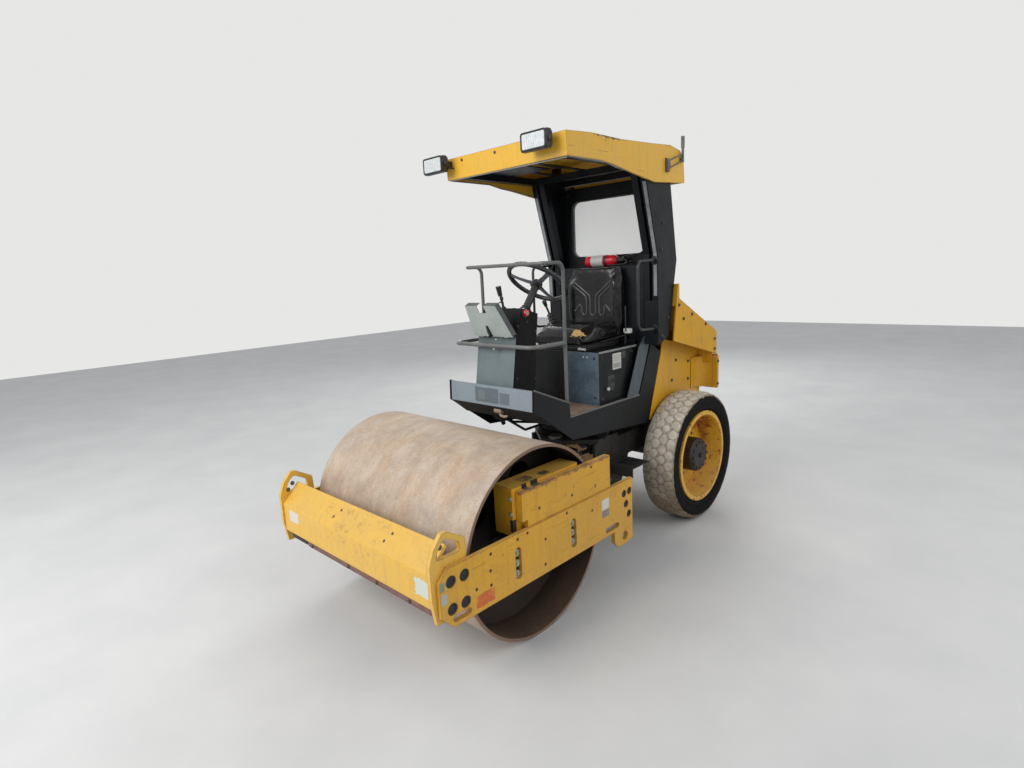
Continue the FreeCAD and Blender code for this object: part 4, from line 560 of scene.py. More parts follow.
def make_materials():
    dark_base, dark_worn, dark_under = (0.0065, 0.0080, 0.0095), (0.012, 0.015, 0.018), (0.009, 0.0085, 0.008)
    film = (0.12, 0.115, 0.105)
    apron_marks = (((-0.113, -0.56, 0.986), (0.071, -0.53, 1.068), (0.105, 0.130, 0.150), 0.05),
                   ((0.079, -0.56, 0.988), (0.153, -0.53, 1.050), (0.125, 0.150, 0.170), 0.10),
                   ((-0.088, -0.56, 1.000), (-0.036, -0.53, 1.050), (0.145, 0.165, 0.175), 0.10, 0.001))
    return {
        "yellow": yellow_paint("yellow"),
        "plate": yellow_paint("plate_yellow", plate_marks(), 0.672, holes=PLATE_HOLES, scratches=0.6),
        "hood": painted("hood_yellow", YELLOW_BASE, YELLOW_WORN, RUST, (0.34, 0.22, 0.09), 0.70, 1.5, 0.55, 0.2, 0.42,
                        sheen=0.2),
        "box": yellow_paint("box_yellow", box_marks(), 0.66, holes=BOX_HOLES, scratches=0.5),
        "rim": painted("rim_yellow", (0.80, 0.440, 0.008), (0.72, 0.35, 0.012), (0.22, 0.050, 0.014), DUST, 0.60, 1.3,
                       0.2, 0.55, 0.36, marks=rim_marks()),
        "beam": painted("bright_yellow", (0.84, 0.480, 0.040), (0.76, 0.465, 0.080), (0.30, 0.15, 0.05),
                        (0.42, 0.27, 0.07), 0.695, 1.0, 0.60, 0.2, 0.34, 0.0, beam_marks(), BEAM_HOLES, False),
        "bright": painted("canopy_yellow", (0.80, 0.440, 0.020), (0.74, 0.430, 0.044), (0.26, 0.12, 0.04), DUST,
                          0.695, 1.0, 0.10, 0.16, 0.34, 0.0, canopy_marks()),
        # Light grey for the thin strips on the posts: a painted highlight of their glossy fronts.
        "strip": plain("painted_highlight_grey", (0.20, 0.215, 0.225), (0.34, 0.35, 0.36), 14, 0.35, dusty=0.1),
        "post": painted("post_paint", (0.0060, 0.0075, 0.0090), (0.011, 0.014, 0.017), dark_under, film, 0.75, 0.4,
                        0.15, 0.2, 0.32, 0.08, sheen=0.14),
        "dark": painted("anthracite", dark_base, dark_worn, dark_under, film, 0.74, 0.4, 0.22, 0.25, 0.32, 0.12, sheen=0.18),
        "leg": painted("leg_grey", (0.056, 0.076, 0.090), (0.082, 0.104, 0.120), dark_under, film, 0.73, 0.7, 0.3,
                       0.35, 0.32, 0.5),
        "box_dark": seat_box_paint(),
        "pale": painted("blue_grey", (0.215, 0.265, 0.305), (0.27, 0.32, 0.35), (0.13, 0.135, 0.13),
                        (0.36, 0.36, 0.34), 0.74, 0.5, 0.30, 0.45, 0.36, 0.3, apron_marks),
        "light": lid_paint(),
        "rail": painted("rail_paint", (0.080, 0.092, 0.092), (0.155, 0.160, 0.150), (0.03, 0.028, 0.026),
                        (0.34, 0.33, 0.29), 0.70, 0.8, 0.2, 0.3, 0.32),
        "handle": painted("handle_paint", (0.007, 0.008, 0.009), (0.014, 0.016, 0.018), (0.010, 0.010, 0.010),
                          film, 0.72, 0.6, 0.2, 0.2, 0.30),
        "console": console_paint(),
        "trodden": floor_paint(),
        "drum": rolled_steel(),
        "frame": dark_steel("greasy_frame", (0.018, 0.0175, 0.017), (0.045, 0.036, 0.028), 0.5, 0.46, 0.1),
        "scraper": dark_steel("scraper_steel", (0.165, 0.085, 0.070), (0.255, 0.140, 0.110), 0.9, 0.75, 0.1),
        "grease": dark_steel("greasy_hub", (0.011, 0.009, 0.007), (0.042, 0.026, 0.014), 0.6, 0.55, 0.0),
        "steel": dark_steel("turned_steel", (0.34, 0.33, 0.32), (0.20, 0.14, 0.10), 0.35, 0.38, 0.85),
        "spigot": dark_steel("dull_steel", (0.13, 0.13, 0.125), (0.10, 0.08, 0.06), 0.5, 0.5, 0.4),
        "bolt": dark_steel("bolt_steel", (0.10, 0.085, 0.07), (0.17, 0.08, 0.04), 0.7, 0.55, 0.5),
        "dark_bolt": dark_steel("painted_bolt", (0.035, 0.038, 0.040), (0.07, 0.05, 0.035), 0.4, 0.45, 0.1),
        "washer": dark_steel("plated_washer", (0.33, 0.37, 0.29), (0.22, 0.20, 0.13), 0.45, 0.5, 0.35),
        "tyre": tyre_rubber(),
        "vinyl": vinyl("seat_cover"),
        "torn": vinyl("torn_seat_cover", True),
        # The ribs are lighter grey than the cover: a painted highlight along them.
        "rib": plain("rib_painted_highlight", (0.060, 0.060, 0.064), (0.095, 0.095, 0.098), 20, 0.22, dusty=0.05, spread=0.06),
        "rubber": plain("moulded_rubber", (0.012, 0.012, 0.013), (0.026, 0.026, 0.026), 40, 0.62),
        "plastic": plain("black_plastic", (0.012, 0.013, 0.015), (0.024, 0.024, 0.026), 26, 0.42),
        "grey_plastic": plain("grey_plastic", (0.105, 0.115, 0.135), (0.135, 0.145, 0.16), 26, 0.45),
        "red": plain("red_enamel", (0.66, 0.008, 0.022), (0.52, 0.006, 0.016), 8, 0.26, dusty=0.08),
        "white": plain("white_sticker", (0.62, 0.62, 0.60), (0.48, 0.48, 0.46), 45, 0.5, dusty=0.1),
        "dull": plain("dull_plate", (0.20, 0.21, 0.20), (0.30, 0.30, 0.29), 45, 0.5, dusty=0.1),
        "glass": clear_glass(),
        "lens": plain("lamp_lens", (0.56, 0.59, 0.60), (0.70, 0.72, 0.72), 90, 0.14, 0.05, 0.5),
        "beige": plain("beige_fitting", (0.42, 0.33, 0.23), (0.28, 0.21, 0.15), 50, 0.6),
    }


# Mesh building

def frame_about(axis):
    """Two directions square to an axis and to each other."""
    axis = Vector(axis).normalized()
    side = axis.cross(UP if abs(axis.z) < 0.9 else X).normalized()
    return axis, side, axis.cross(side)


class Shape:
    """Collects solids in one mesh and places them as one piece."""

    def __init__(self):
        self.bm = bmesh.new()

    def rings(self, rings, close_path=False, caps=True):
        """Skin between rings of points; each ring is closed."""
        made = [[self.bm.verts.new(point) for point in ring] for ring in rings]
        count = len(made[0])
        pairs = list(zip(made, made[1:]))
        if close_path:
            pairs.append((made[-1], made[0]))
        for first, second in pairs:
            for index in range(count):
                following = (index + 1) % count
                self.bm.faces.new((first[index], first[following], second[following], second[index]))
        if caps and not close_path:
            self.bm.faces.new(list(reversed(made[0])))
            self.bm.faces.new(made[-1])
        return made

    def lathe(self, profile, place, axis, steps=32, close=False, turn=0.0):
        """Turn a profile of (distance along the axis, radius) round the axis."""
        axis, side, other = frame_about(axis)
        place = Vector(place)
        rings = []
        for along, radius in profile:
            ring = []
            for step in range(steps):
                angle = 2 * math.pi * step / steps + turn
                ring.append(place + axis * along + (side * math.cos(angle) + other * math.sin(angle)) * radius)
            rings.append(ring)
        self.rings(rings, close_path=close)
        return self

    def rod(self, place, axis, radius, length, steps=20, edge=0.0):
        if edge:
            profile = [(0, radius - edge), (edge, radius), (length - edge, radius), (length, radius - edge)]
        else:
            profile = [(0, radius), (length, radius)]
        return self.lathe(profile, place, axis, steps)

    def bolt(self, place, axis, size=0.011, washer=True, turn=0.3):
        """Hexagon head with a chamfer on a washer; size is the head's radius."""
        axis = Vector(axis).normalized()
        place = Vector(place)
        start = 0.0
        if washer:
            self.lathe([(0, size * 1.35), (size * 0.16, size * 1.35), (size * 0.22, size * 1.28)], place, axis, 20)
            start = size * 0.2
        high = size * 0.72
        profile = [(start, size), (start + high * 0.8, size), (start + high, size * 0.84), (start + high, size * 0.4)]
        return self.lathe(profile, place, axis, 6, turn=turn)

    def slab(self, outline, plane, start, end, edge=0.0):
        """Extrude an outline between two places across its plane, with rounded rims."""
        def point(u, v, w):
            return {"XY": (u, v, w), "XZ": (u, w, v), "YZ": (w, u, v)}[plane]
        centre_u = sum(u for u, _ in outline) / len(outline)
        centre_v = sum(v for _, v in outline) / len(outline)
        inset = []
        for u, v in outline:
            away = math.hypot(u - centre_u, v - centre_v) or 1.0
            scale = max(0.0, 1 - edge / away)
            inset.append((centre_u + (u - centre_u) * scale, centre_v + (v - centre_v) * scale))
        if edge:
            sign = 1 if end > start else -1
            stages = [(inset, start), (outline, start + sign * edge), (outline, end - sign * edge), (inset, end)]
        else:
            stages = [(outline, start), (outline, end)]
        self.rings([[point(u, v, w) for u, v in ring] for ring, w in stages])
        return self

    def block(self, low, high, edge=0.0):
        low, high = Vector(low), Vector(high)
        outline = [(low.x, low.y), (high.x, low.y), (high.x, high.y), (low.x, high.y)]
        return self.slab(outline, "XY", low.z, high.z, edge)

    def tube(self, points, radius, steps=12, smooth=0, closed=False, flat=1.0):
        """Sweep a round section along points, rounded by repeated corner cutting."""
        points = [Vector(point) for point in points]
        for _ in range(smooth):
            cut = [] if closed else [points[0]]
            pairs = list(zip(points, points[1:])) + ([(points[-1], points[0])] if closed else [])
            for first, second in pairs:
                cut += [first.lerp(second, 0.25), first.lerp(second, 0.75)]
            if not closed:
                cut.append(points[-1])
            points = cut
        count = len(points)
        headings = []
        for index in range(count):
            before = points[index - 1] if index or closed else points[0]
            after = points[(index + 1) % count] if index < count - 1 or closed else points[-1]
            headings.append((after - before).normalized())
        _, side, other = frame_about(headings[0])
        rings = []
        for point, heading in zip(points, headings):
            side = (side - heading * side.dot(heading)).normalized()
            other = heading.cross(side)
            ring = []
            for step in range(steps):
                angle = 2 * math.pi * step / steps
                ring.append(point + side * math.cos(angle) * radius + other * math.sin(angle) * radius * flat)
            rings.append(ring)
        self.rings(rings, close_path=closed)
        return self

    def piece(self, name, body, material, slot, sharp=35, stands_for=(), weld=False):
        """Make the object, shade it, and tie it to its body and its material; the slot argument is not used."""
        if weld:
            bmesh.ops.remove_doubles(self.bm, verts=self.bm.verts, dist=1e-6)
        bmesh.ops.recalc_face_normals(self.bm, faces=self.bm.faces)
        limit = math.radians(sharp)
        for edge in self.bm.edges:
            edge.smooth = len(edge.link_faces) == 2 and edge.calc_face_angle(0) < limit
        for face in self.bm.faces:
            face.smooth = True
        mesh = bpy.data.meshes.new(name)
        self.bm.to_mesh(mesh)
        self.bm.free()
        made = bpy.data.objects.new(name, mesh)
        bpy.context.scene.collection.objects.link(made)
        materials = material if isinstance(material, (list, tuple)) else [material]
        for each in materials:
            mesh.materials.append(each)
        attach(made, body)
        if stands_for:
            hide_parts(*stands_for)
        return made


M = make_materials()
YELLOW, DARK, LIGHT, RUBBER = "yellow_paint", "dark_grey_paint", "light_grey_paint", "rubber"
STEEL, PLASTIC = "bare_steel", "plastic_black"


def dress(names, material):
    """Give carried-over nodes their material."""
    for name in names:
        mesh = CAD[name].data
        mesh.materials.clear()
        mesh.materials.append(material)


def dress_nodes():
    dress(("body_sides", "rear_body", "counterweight"), M["yellow"])
    dress(("side_plates",), M["plate"])
    dress(("side_boxes",), M["box"])
    dress(("hood",), M["hood"])
    dress(("front_beam", "end_plates"), M["beam"])
    dress(("canopy",), M["bright"])
    dress(("bulkhead", "side_panels", "tank_box", "roof_frame"), M["dark"])
    dress(("posts", "rear_panel"), M["post"])
    dress(("rear_beam", "chassis", "rear_axle", "steps", "drum_carriers", "engine_block", "cylinder_barrel"), M["frame"])
    dress(("seat_box",), M["box_dark"])
    dress(("floor_plate",), M["trodden"])
    dress(("console",), M["console"])
    dress(("apron",), M["pale"])
    dress(("instrument_lid",), M["light"])
    dress(("handrail_upper", "handrail_lower"), M["rail"])
    dress(("grab_handles",), M["handle"])
    dress(("articulation_link", "hub_left", "hub_right"), M["grease"])
    dress(("pivot_pin", "cylinder_rod"), M["steel"])
    dress(("beacon_spigot",), M["spigot"])
    dress(("scrapers",), M["scraper"])
    dress(("drum",), M["drum"])
    dress(("rim_left", "rim_right"), M["rim"])
    dress(("rubber_buffers", "side_lever", "hydraulic_hoses"), M["rubber"])
    dress(("tyre_left", "tyre_right"), M["tyre"])
    dress(("seat_base", "seat_back"), M["vinyl"])
    dress(("steering_column", "steering_wheel", "travel_lever", "work_lamps"), M["plastic"])
    dress(("extinguisher",), M["red"])
    dress(("window_glass",), M["glass"])


def lay_floor():
    shape = Shape()
    shape.bm.faces.new([shape.bm.verts.new(corner) for corner in
                        ((-14, -14, 0), (14, -14, 0), (14, 14, 0), (-14, 14, 0))])
    mesh = bpy.data.meshes.new("floor")
    shape.bm.to_mesh(mesh)
    shape.bm.free()
    mesh.materials.append(floor_material())
    ground = bpy.data.objects.new("floor", mesh)
    bpy.context.scene.collection.objects.link(ground)


def rounded(low_u, low_v, high_u, high_v, radius, steps=4):
    """Outline of a rectangle with round corners."""
    points = []
    for u, v, start in ((high_u - radius, high_v - radius, 0), (low_u + radius, high_v - radius, 90),
                        (low_u + radius, low_v + radius, 180), (high_u - radius, low_v + radius, 270)):
        for step in range(steps + 1):
            angle = math.radians(start + 90 * step / steps)
            points.append((u + radius * math.cos(angle), v + radius * math.sin(angle)))
    return points


# Front frame

def front_frame_trim():
    """Plugs in the ports, bolts in the slots, on the boxes, loops and scraper bar."""
    plugs = Shape()
    bolts = Shape()
    washers = Shape()
    ports = [(y, z, 0.025) for y in (-1.417, -1.347) for z in (0.402, 0.518)]
    ports += [(-0.223, 0.508, 0.020), (-0.174, 0.511, 0.020), (-0.205, 0.447, 0.020), (-0.179, 0.385, 0.020)]
    for _, sign in SIDES:
        axis = X * sign
        for y, z, radius in ports:
            cup = [(0, radius - 0.0006), (0.008, radius - 0.0006), (0.0095, radius - 0.002), (0.0095, radius - 0.005),
                   (0.006, radius - 0.0065), (0.006, 0.006), (0.008, 0.004), (0.008, 0.001)]
            plugs.lathe(cup, (0.636 * sign, y, z), axis, 28)
        for y, heights in ((DRUM_Y - 0.193, (0.488, 0.440, 0.391)), (DRUM_Y + 0.193, (0.490, 0.444, 0.398))):
            for number, z in enumerate(heights):
                washers.lathe([(0, 0.0168), (0.0065, 0.0168), (0.0075, 0.0158), (0.0075, 0.006)],
                              (0.632 * sign, y, z), axis, 24)
                washers.bolt((0.6385 * sign, y, z), axis, 0.0072, False, number * 0.7)
        for z in (0.718, 0.647):
            washers.bolt((0.600 * sign, -1.0205, z), -Y, 0.008)
        for y, z in ((-1.455, 0.6245), (-1.428, 0.652)):
            bolts.bolt((0.6085 * sign, y, z), -axis, 0.0085)
        for y in (-0.285, -0.215):
            bolts.bolt((0.55 * sign, y, 0.560), UP, 0.012)
    for x in (-0.34, -0.006, 0.224, 0.459):
        bolts.bolt((x, -1.4855, 0.3975), -Y, 0.0075)
    plugs.piece("port_plugs", "front_frame", M["rubber"], RUBBER, 40)
    washers.piece("slot_washers", "front_frame", M["washer"], STEEL, 40)
    bolts.piece("frame_bolts", "front_frame", M["bolt"], STEEL, 30)
    strip = Shape()
    strip.slab(rounded(-0.387, -1.4855, 0.600, -1.4735, 0.003, 2), "XY", 0.386, 0.4097, 0.002)
    strip.slab(rounded(-0.380, -1.4735, 0.596, -1.4380, 0.003, 2), "XY", 0.400, 0.4097, 0.001)
    strip.piece("scraper_strip", "front_frame", M["scraper"], "rusty_steel", 40)
    bumper = Shape()
    bumper.slab(rounded(-0.55, -1.486, -0.39, -1.452, 0.006), "XY", 0.390, 0.4105, 0.003)
    bumper.piece("beam_bumper", "front_frame", M["rubber"], RUBBER, 40)


def drum_ends(side, sign):
    """Finned motor on the carrier inside the drum's end, and the bolts of the drum's disc."""
    motor = Shape()
    profile = [(0, 0.060), (0, 0.098)]
    for fin in range(4):
        start = 0.006 + fin * 0.011
        profile += [(start, 0.098), (start, 0.082), (start + 0.006, 0.082), (start + 0.006, 0.096)]
    profile += [(0.056, 0.094), (0.062, 0.070), (0.068, 0.040), (0.068, 0.004)]
    motor.lathe(profile, (0.528 * sign, DRUM_Y, DRUM_R), X * sign, 40)
    for index in range(6):
        angle = 2 * math.pi * index / 6 + 0.3
        place = (0.584 * sign, DRUM_Y + math.cos(angle) * 0.080, DRUM_R + math.sin(angle) * 0.080)
        motor.bolt(place, X * sign, 0.008, False)
    for y in (-0.90, -0.79):
        motor.tube([(0.565 * sign, y, 0.50), (0.572 * sign, y, 0.53), (0.560 * sign, y + 0.01, 0.546)], 0.013, 10, 2)
    motor.piece(f"drum_motor_{side}", "front_frame", M["grease"], "cast_metal", 30)
    ring = Shape()
    for index in range(8):
        angle = 2 * math.pi * index / 8
        place = (0.410 * sign, DRUM_Y + math.cos(angle) * 0.122, DRUM_R + math.sin(angle) * 0.122)
        ring.bolt(place, X * sign, 0.012)
    ring.piece(f"disc_bolts_{side}", "drum", M["grease"], "cast_metal", 30)


# Running gear

def shoulder_drop(across):
    """How far the tread lies below the tyre's full radius, at this distance from the machine's middle."""
    return SHOULDER * max(0.0, abs(across - TREAD_X) / TREAD_HALF - 0.55) ** 1.5


def tyre(side, sign):
    """Carcass with a worn block tread of staggered, uneven lugs that follow its rounded shoulders."""
    chance = random.Random(11 if sign > 0 else 12)
    inner, outer = 0.349, 0.565
    rim = 0.302
    relief = 0.0036
    seat = 0.2845
    crown = []
    for step in range(17):
        across = inner + 0.003 + (outer - inner - 0.006) * step / 16
        crown.append((across, TYRE_R - relief - shoulder_drop(across)))
    profile = [(inner + 0.0225, seat), (inner + 0.0225, rim + 0.005), (inner + 0.006, rim + 0.022),
               (inner, rim + 0.070), (inner + 0.0005, TYRE_R - 0.026)] + crown
    profile += [(outer - 0.0005, TYRE_R - 0.026), (outer, rim + 0.070), (outer - 0.003, rim + 0.046),
                (outer - 0.0055, rim + 0.044), (outer - 0.0055, rim + 0.036), (outer - 0.004, rim + 0.033),
                (outer - 0.006, rim + 0.022), (outer - 0.0185, rim + 0.005), (outer - 0.0185, seat)]
    shape = Shape()
    shape.lathe([(across * sign, radius) for across, radius in profile], (0, AXLE_Y, TYRE_R), X, 96, close=True)
    columns = 40
    pitch = 2 * math.pi / columns
    rows = 4
    width = (outer - inner - 0.010) / rows
    for column in range(columns):
        for row in range(rows):
            angle = (column + 0.5 * (row % 2)) * pitch + chance.uniform(-0.010, 0.010)
            middle = inner + 0.005 + width * (row + 0.5) + chance.uniform(-0.003, 0.003)
            top = TYRE_R - 0.0006 - chance.uniform(0, 0.0014)
            base = TYRE_R - relief - 0.003
            half_a = pitch * 0.5 * 0.95 * chance.uniform(0.86, 1.06)
            half_x = width * 0.57 * chance.uniform(0.88, 1.06)
            spin = chance.uniform(-0.4, 0.4)
            rings = []
            reaches = [chance.uniform(0.84, 1.10) for _ in range(9)]
            for radius, scale in ((base, 1.03), (top - 0.0010, 0.98), (top, 0.90)):
                ring = []
                for corner, reach in enumerate(reaches):
                    turn = 2 * math.pi / 9 * corner + spin
                    bend = angle + math.cos(turn) * half_a * scale * reach
                    across = middle + math.sin(turn) * half_x * scale * reach
                    across = min(max(across, inner + 0.004), outer - 0.004)
                    reached = radius - shoulder_drop(across)
                    ring.append((across * sign, AXLE_Y + math.sin(bend) * reached, TYRE_R + math.cos(bend) * reached))
                rings.append(ring)
            shape.rings(rings)
    return shape.piece(f"tyre_tread_{side}", f"wheel_{side}", M["tyre"], "tyre", 30, (f"tyre_{side}",))


def wheel_trim(side, sign):
    """Bolts of the hub and rim, the hub's cover ring and its drain plug."""
    shape = Shape()
    axis = X * sign
    face = (0.565 - 0.152 + 0.0005) * sign
    for index in range(10):
        angle = 2 * math.pi * index / 10 + 0.2
        place = (face - 0.0 * sign, AXLE_Y + math.cos(angle) * 0.150, TYRE_R + math.sin(angle) * 0.150)
        shape.bolt(place, axis, 0.013)
    shape.piece(f"wheel_bolts_{side}", f"wheel_{side}", M["bolt"], "cast_metal", 30)
    hub = Shape()
    end = (0.565 - 0.152 + 0.128 - 0.022) * sign
    ring = [(0, 0.106), (0.004, 0.108), (0.010, 0.104), (0.012, 0.07)]
    hub.lathe([(along * sign, radius) for along, radius in ring], (end, AXLE_Y, TYRE_R), X, 40)
    for index in range(12):
        angle = 2 * math.pi * index / 12
        place = (end + 0.0180 * sign, AXLE_Y + math.cos(angle) * 0.089, TYRE_R + math.sin(angle) * 0.089)
        hub.bolt(place, axis, 0.0095, False, index * 0.6)
    hub.rod((end + 0.0215 * sign, AXLE_Y, TYRE_R), axis, 0.016, 0.010, 6)
    hub.piece(f"hub_cover_{side}", f"wheel_{side}", M["grease"], "cast_metal", 30)


def step_grates():
    """Bars across the step plates' openings, and their bolts."""
    bars = Shape()
    for _, sign in SIDES:
        for index in range(3):
            y = 0.2365 + 0.021 * index
            bars.slab(rounded(0.301, y - 0.004, 0.405, y + 0.004, 0.002, 2) if sign > 0 else
                      rounded(-0.405, y - 0.004, -0.301, y + 0.004, 0.002, 2), "XY", 0.4925, 0.4995, 0.001)
        for y in (0.178, 0.337):
            bars.bolt((0.285 * sign, y, 0.500), UP, 0.009)
    bars.piece("step_grates", "chassis", M["dark"], DARK, 35)


# Platform

def bent(route, bend, steps=7):
    """Points along a route whose corners are rounded to arcs of one radius."""
    points = [Vector(route[0])]
    for before, corner, after in zip(route, route[1:], route[2:]):
        corner = Vector(corner)
        back = (Vector(before) - corner).normalized()
        ahead = (Vector(after) - corner).normalized()
        half = back.angle(ahead) / 2
        reach = bend / math.tan(half)
        middle = corner + (back + ahead).normalized() * (bend / math.sin(half))
        first = (corner + back * reach - middle).normalized()
        last = (corner + ahead * reach - middle).normalized()
        points += [middle + first.slerp(last, step / steps) * bend for step in range(steps + 1)]
    points.append(Vector(route[-1]))
    return points


def rails():
    """Front rail, its lower guard bar and the grab handles, of tube on the nodes' centre lines."""
    upper, lower, handles = Shape(), Shape(), Shape()
    top, guard = 1.722, 1.298
    upper.tube(bent([(RAIL_X, RAIL_Y, 0.8850), (RAIL_X, RAIL_Y, top), (RAIL_X, -0.392, top), (-RAIL_X, -0.392, top),
                     (-RAIL_X, RAIL_Y, top), (-RAIL_X, RAIL_Y, 0.8850)], 0.045), RAIL_R, 16)
    lower.tube(bent([(RAIL_X, RAIL_Y - 0.008, guard), (RAIL_X, -0.508, guard), (-RAIL_X, -0.508, guard),
                     (-RAIL_X, RAIL_Y - 0.008, guard)], 0.060), 0.0115, 16)
    for _, sign in SIDES:
        x = 0.410 * sign
        handles.tube(bent([(x, 0.498, 1.715), (x, 0.310, 1.710), (x, 0.310, 1.310), (x, 0.5036, 1.300)], 0.040),
                     0.0088, 14)
    upper.piece("front_rail", "chassis", M["rail"], LIGHT, 50, ("handrail_upper",))
    lower.piece("guard_bar", "chassis", M["rail"], LIGHT, 50, ("handrail_lower",))
    handles.piece("post_handles", "chassis", M["handle"], DARK, 50, ("grab_handles",))


def floor_trim():
    """Worn mat, edge trims, feet of the handrail, and fittings on the apron."""
    mat = Shape()
    mat.slab(rounded(-0.315, -0.228, 0.315, 0.048, 0.012), "XY", 0.8852, 0.8892, 0.0015)
    mat.piece("floor_mat", "chassis", M["trodden"], DARK, 35)
    trim = Shape()
    feet = Shape()
    bolts = Shape()
    covers = Shape()
    for _, sign in SIDES:
        x = 0.330 * sign
        trim.tube([(x, -0.541, 1.0835), (x, -0.262, 0.9685), (x, -0.262, 0.8880), (x, 0.436, 0.8870)], 0.0060, 8)
        foot = (RAIL_X * sign, RAIL_Y, 0.8852)
        low, high = sorted((0.276 * sign, 0.3262 * sign))
        feet.slab(rounded(low, -0.290, high, -0.226, 0.010), "XY", 0.8852, 0.8905, 0.001)
        feet.lathe([(0.005, 0.0097), (0.005, 0.0122), (0.013, 0.0108)], foot, UP, 20)
        for y in (-0.278, -0.238):
            bolts.bolt((0.287 * sign, y, 0.8905), UP, 0.0045, False)
        for z in (1.278, 1.318):
            feet.lathe([(0, 0.0097), (0, 0.0122), (0.006, 0.0122), (0.006, 0.0097)], (foot[0], foot[1], z - 0.003),
                       UP, 20)
        leg = [(0.302, 0.8915), (0.4414, 1.194), (0.520, 1.262), (0.586, 1.262), (0.4290, 0.8915)]
        covers.slab(leg, "YZ", 0.3275 * sign, 0.3315 * sign, 0.0008)
    trim.piece("sill_trim", "chassis", M["rail"], LIGHT, 50)
    feet.piece("rail_feet", "chassis", M["rail"], LIGHT, 35)
    covers.piece("leg_covers", "chassis", M["leg"], DARK, 35)
    bolts.piece("platform_bolts", "chassis", M["dark_bolt"], STEEL, 30)
    fitting = Shape()
    fitting.lathe([(0, 0.006), (0, 0.017), (0.004, 0.020), (0.050, 0.020), (0.056, 0.016), (0.058, 0.004)],
                  (-0.002, -0.500, 0.940), X, 24)
    fitting.tube([(0.030, -0.500, 0.922), (0.040, -0.503, 0.910), (0.070, -0.503, 0.906), (0.088, -0.500, 0.914)],
                 0.0075, 10, 2)
    fitting.piece("apron_fitting", "chassis", M["beige"], LIGHT, 35)


def swell(shape, name, pressure=4.0, cap=0.022, voxel=0.006):
    """Blow a closed pad up like stuffed cover, hold it near its own form, and give back the mesh object."""
    bmesh.ops.recalc_face_normals(shape.bm, faces=shape.bm.faces)
    mesh = bpy.data.meshes.new(name)
    shape.bm.to_mesh(mesh)
    shape.bm.free()
    pad = bpy.data.objects.new(name, mesh)
    bpy.context.scene.collection.objects.link(pad)
    remesh = pad.modifiers.new("even", "REMESH")
    remesh.mode = "VOXEL"
    remesh.voxel_size = voxel
    pad.data = bpy.data.meshes.new_from_object(pad.evaluated_get(bpy.context.evaluated_depsgraph_get()))
    pad.modifiers.clear()
    rest = [vertex.co.copy() for vertex in pad.data.vertices]
    cloth = pad.modifiers.new("stuffing", "CLOTH")
    cloth.settings.use_pressure = True
    cloth.settings.uniform_pressure_force = pressure
    cloth.settings.effector_weights.gravity = 0
    cloth.settings.quality = 6
    cloth.point_cache.frame_start = 1
    cloth.point_cache.frame_end = 20
    for number in range(1, 21):
        bpy.context.scene.frame_set(number)
    moved = pad.evaluated_get(bpy.context.evaluated_depsgraph_get()).data
    places = [vertex.co.copy() for vertex in moved.vertices]
    pad.modifiers.clear()
    bpy.context.scene.frame_set(1)
    for vertex, start, end in zip(pad.data.vertices, rest, places):
        step = end - start
        if step.length > cap:
            step = step.normalized() * cap
        vertex.co = start + step
    work = bmesh.new()
    work.from_mesh(pad.data)
    for _ in range(4):
        bmesh.ops.smooth_vert(work, verts=work.verts, factor=0.5, use_axis_x=True, use_axis_y=True, use_axis_z=True)
    work.to_mesh(pad.data)
    work.free()
    finer = pad.modifiers.new("finer", "SUBSURF")
    finer.levels = 1
    pad.data = bpy.data.meshes.new_from_object(pad.evaluated_get(bpy.context.evaluated_depsgraph_get()))
    pad.modifiers.clear()
    for polygon in pad.data.polygons:
        polygon.use_smooth = True
    return pad


def finish_pad(pad, material, node):
    pad.data.materials.clear()
    pad.data.materials.append(material)
    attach(pad, "chassis")
    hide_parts(node)
    return pad


def ease(amount):
    amount = min(max(amount, 0.0), 1.0)
    return amount * amount * (3 - 2 * amount)


